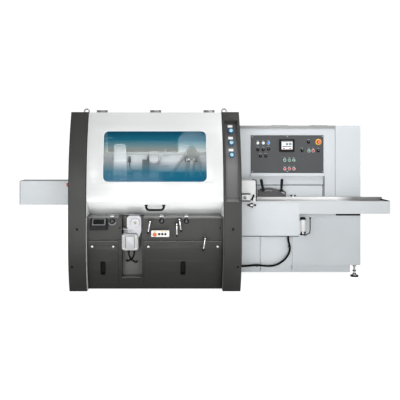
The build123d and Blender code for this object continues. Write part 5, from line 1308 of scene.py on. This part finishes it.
# %% Pump, feet, conduit clips and painted shadow strips
pump = Vector((1.0068, -0.3, 0))
pump_cap = [(0.029, 0.6465), (0.029, 0.657), (0.0265, 0.666), (0.018, 0.6715), (0.004, 0.6725)]
pump_base = [(0.0272, 0.4866), (0.0288, 0.489), (0.0288, 0.521), (0.0275, 0.5248)]
foot_x, foot_rows = 1.628, (-0.025, 0.69)
foot_pad = [(0.0425, 0.0003), (0.0432, 0.01), (0.0395, 0.0162), (0.0195, 0.0175)]
lock_nut = [(0.019, 0, 6), (0.019, 0.012, 6)]
clip = [(0.0116, 0), (0.015, 0.002), (0.015, 0.016), (0.0116, 0.018)]
stem, stem_foot, gap_height = [(0.006, 0), (0.006, 0.03)], -0.1005, 0.6685
piece("pump_cap", black_plastic, (turned, pump_cap, pump, upward, 32))
piece("pump_base", black_plastic, (turned, pump_base, pump, upward, 32))
piece("pump_boss", bright_chrome, (button, 0.013, 0.01, pump + Vector((-0.004, -0.0272, 0.512))))
piece("pump_rings", zinc_steel,
      *[(collar, 0.0322, 0.0308, 0.004, pump + upward * z, upward, 32) for z in (0.6435, 0.5255)])
piece("foot_pads", black_rubber,
      *[(turned, foot_pad, (foot_x, y, 0), upward, 32) for y in foot_rows])
piece("foot_nuts", dark_casting,
      *[(turned, lock_nut, (foot_x, y, z), upward, 12)
        for y in foot_rows for z in (0.0245, 0.058, 0.1105)])
piece("conduit_clips", black_plastic,
      (turned, clip, (0.576, -0.11, 0.1355), (-1, 0, 0.03)),
      (turned, stem, (0.567, stem_foot, 0.1358), rearward, 16),
      (turned, clip, (0.9105, -0.112, 0.345), (0.05, 0, -1)),
      (turned, stem, (0.9108, stem_foot, 0.336), rearward, 16))
# Black strips and a bead painting the shadow under the table's apron and under the side box.
piece("table_gap_strip", black_rubber,
      (plate, (1.1865, -0.05, gap_height), (0.449, 0.018), 0.002, 0.003),
      (plate, (1.5455, -0.07, gap_height), (0.262, 0.018), 0.002, 0.003))
bead("side_box_seal", black_rubber, [(x, -0.3565, 0.484) for x in (0.3195, 0.9555)], 0.0032)
print("pump at", [round(c, 3) for c in pump])

# %% [markdown]
# ## Roof and outfeed
# Rolled rims stiffen the dust spigots, and the stop button beside the outfeed has its yellow
# collar.

# %% Spigot rims, side stop collar and outfeed edging
piece("spigot_rims", zinc_steel,
      *[(collar, 0.0628, 0.057, 0.005, (x, 0.15, 1.7905), upward, 48)
        for x in (-1.1, hood_middle, 0.08)])
piece("side_stop_collar", stop_yellow,
      (collar, 0.0328, 0.0125, 0.0068, (-1.3375, -0.63, 1.027), -across, 40))
outfeed_bends = ((-0.362, 0.807), (-0.362, 1.047), (-0.108, 1.047), (-0.108, 0.807))
bead("outfeed_edging", black_rubber, [(-1.8865, y, z) for y, z in outfeed_bends], 0.0025)
made = [thing for thing in bpy.data.objects if thing.type in ("MESH", "CURVE")]
print("pieces", len(made) - len(nodes))

# %% [markdown]
# ## Cords
# A black conduit drops from the infeed box, swings under it and runs along the cabinet foot into
# the pillar. Two motor leads leave the terminal box, cross and go into the wall of the recess. Each
# follows the CAD route as the control points of one smooth curve.

# %% Cord builder
def lay_cord(name, points, diameter, node):
    """Smooth round cord along the route's control points, standing for its CAD node."""
    curve, spline = round_line(name, "NURBS", points, diameter / 2, 5)
    curve.resolution_u = 10
    spline.order_u = 3
    spline.use_endpoint_u = True
    thing = seat(name, curve, "frame", black_rubber)
    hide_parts(node)
    print(name, "control points", len(points))


# %% The conduit and the two motor leads
exit_x, conduit_y, pillar_gland = 0.8975, -0.11, 0.3375
lay_cord("infeed_conduit", [
    (exit_x, conduit_y, 0.463),
    (exit_x, conduit_y, 0.4),
    (exit_x + 0.02, conduit_y - 0.002, 0.34),
    (exit_x + 0.012, conduit_y - 0.004, 0.268),
    (exit_x - 0.036, conduit_y - 0.004, 0.198),
    (exit_x - 0.112, conduit_y - 0.002, 0.144),
    (exit_x - 0.198, conduit_y, 0.126),
    (exit_x - 0.29, conduit_y, 0.136),
    (exit_x - 0.35, conduit_y, 0.14),
    (exit_x - 0.456, conduit_y, 0.127),
    (pillar_gland, conduit_y, 0.127),
], 0.022, "conduit")
lead_x, lead_y, lead_z = -0.7475, -0.73, 0.405
lay_cord("motor_lead_a", [
    (lead_x - 0.014, lead_y + 0.026, lead_z),
    (lead_x - 0.014, lead_y + 0.026, lead_z - 0.04),
    (lead_x + 0.004, lead_y + 0.03, lead_z - 0.078),
    (lead_x + 0.03, lead_y + 0.05, lead_z - 0.108),
    (lead_x + 0.052, lead_y + 0.088, lead_z - 0.128),
    (lead_x + 0.06, lead_y + 0.138, lead_z - 0.138),
    (lead_x + 0.06, recess_wall, lead_z - 0.138),
], 0.016, "motor_cables")
lay_cord("motor_lead_b", [
    (lead_x + 0.04, lead_y + 0.04, lead_z),
    (lead_x + 0.04, lead_y + 0.04, lead_z - 0.04),
    (lead_x + 0.024, lead_y + 0.052, lead_z - 0.078),
    (lead_x - 0.004, lead_y + 0.076, lead_z - 0.104),
    (lead_x - 0.028, lead_y + 0.11, lead_z - 0.12),
    (lead_x - 0.038, lead_y + 0.15, lead_z - 0.128),
    (lead_x - 0.038, recess_wall, lead_z - 0.128),
], 0.016, "motor_cables")

# %% [markdown]
# ## Floor and light
# The photograph is a studio cut-out on white. A pale seamless floor, a white surround and large
# soft boxes near the lens give the same flat frontal light. The surround and the floor show white
# to the lens but light the machine less than they show, so that the charcoal panels stay dark where
# they turn towards the floor. The work lamp hangs inside the hood and turns up with it, so that the
# cutters aren't lit twice when the hood is open.

# %% Pale floor
def glow_to_lens(tree, unseen, shown):
    """Strength socket that differs between the light that is cast and what the lens sees."""
    seen = add_node(tree, "LightPath").outputs["Is Camera Ray"]
    span = {"Value": seen, "To Min": unseen, "To Max": shown}
    return add_node(tree, "MapRange", span).outputs["Result"]


reach = 30
corners = [(-reach, -reach, 0), (reach, -reach, 0), (reach, reach, 0), (-reach, reach, 0)]
floor_mesh = bpy.data.meshes.new("studio_floor")
floor_mesh.from_pydata(corners, [], [(0, 1, 2, 3)])
floor = bpy.data.objects.new("studio_floor", floor_mesh)
bpy.context.scene.collection.objects.link(floor)
floor.location.z = -0.001
floor_paint = finish(
    "studio floor", fine_grain, 0.0, (0.8, 0.8, 0.8), specular=0.1, gloss=0.8, rubbed=0.0
)
tree = floor_paint.node_tree
shader = tree.nodes["Principled BSDF"].inputs
shader["Emission Color"].default_value = (1, 1, 1, 1)
tree.links.new(glow_to_lens(tree, 0.25, 0.8), shader["Emission Strength"])
floor_mesh.materials.append(floor_paint)
print("floor", 2 * reach, "m wide")

# %% Surround and soft boxes
world = bpy.data.worlds.new("studio")
bpy.context.scene.world = world
world.use_nodes = True
tree = world.node_tree
background = tree.nodes["Background"].inputs
background["Color"].default_value = (1, 1, 1, 1)
tree.links.new(glow_to_lens(tree, 0.36, 1.05), background["Strength"])


def soft_box(name, place, target, size, power, spread=180):
    """Large area light aimed at a point, narrowed by a grid where a spread is given."""
    light = bpy.data.lights.new(name, "AREA")
    light.shape = "RECTANGLE"
    light.size, light.size_y = size
    light.energy = power
    light.spread = radians(spread)
    thing = bpy.data.objects.new(name, light)
    thing.location = place
    thing.rotation_euler = (Vector(target) - Vector(place)).to_track_quat("-Z", "Y").to_euler()
    bpy.context.scene.collection.objects.link(thing)
    return thing


soft_box("front_left_box", (-1.9, -6.6, 1.5), (-0.4, 0, 0.9), (3.0, 2.2), 158)
soft_box("front_right_box", (2.4, -6.3, 1.3), (0.6, 0, 0.8), (2.6, 2.2), 102)
soft_box("overhead_box", (0, -1.0, 5.0), (0, 0, 0.8), (4.5, 2.5), 42)
soft_box("low_fill", (-0.6, -3.8, 0.48), (-0.5, -0.6, 0.8), (2.4, 0.3), 3.4, 60)
soft_box("infeed_box", (1.1, -1.2, 2.2), (1.1, -0.2, 0.85), (1.2, 0.4), 7)
soft_box("lip_light", (hood_middle, -1.6, 0.02), (hood_middle, -0.62, 0.8), (1.25, 0.12), 0.55, 36)
soft_box("under_box_fill", (0.65, -1.3, 0.05), (0.6, -0.07, 0.3), (0.6, 0.1), 0.17, 32)
work_lamp = soft_box(
    "work_lamp", (hood_middle, -0.46, 1.58), (hood_middle, -0.3, 1.15), (1.1, 0.1), 6
)
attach(work_lamp, "hood")
print("lights", len(bpy.data.lights))
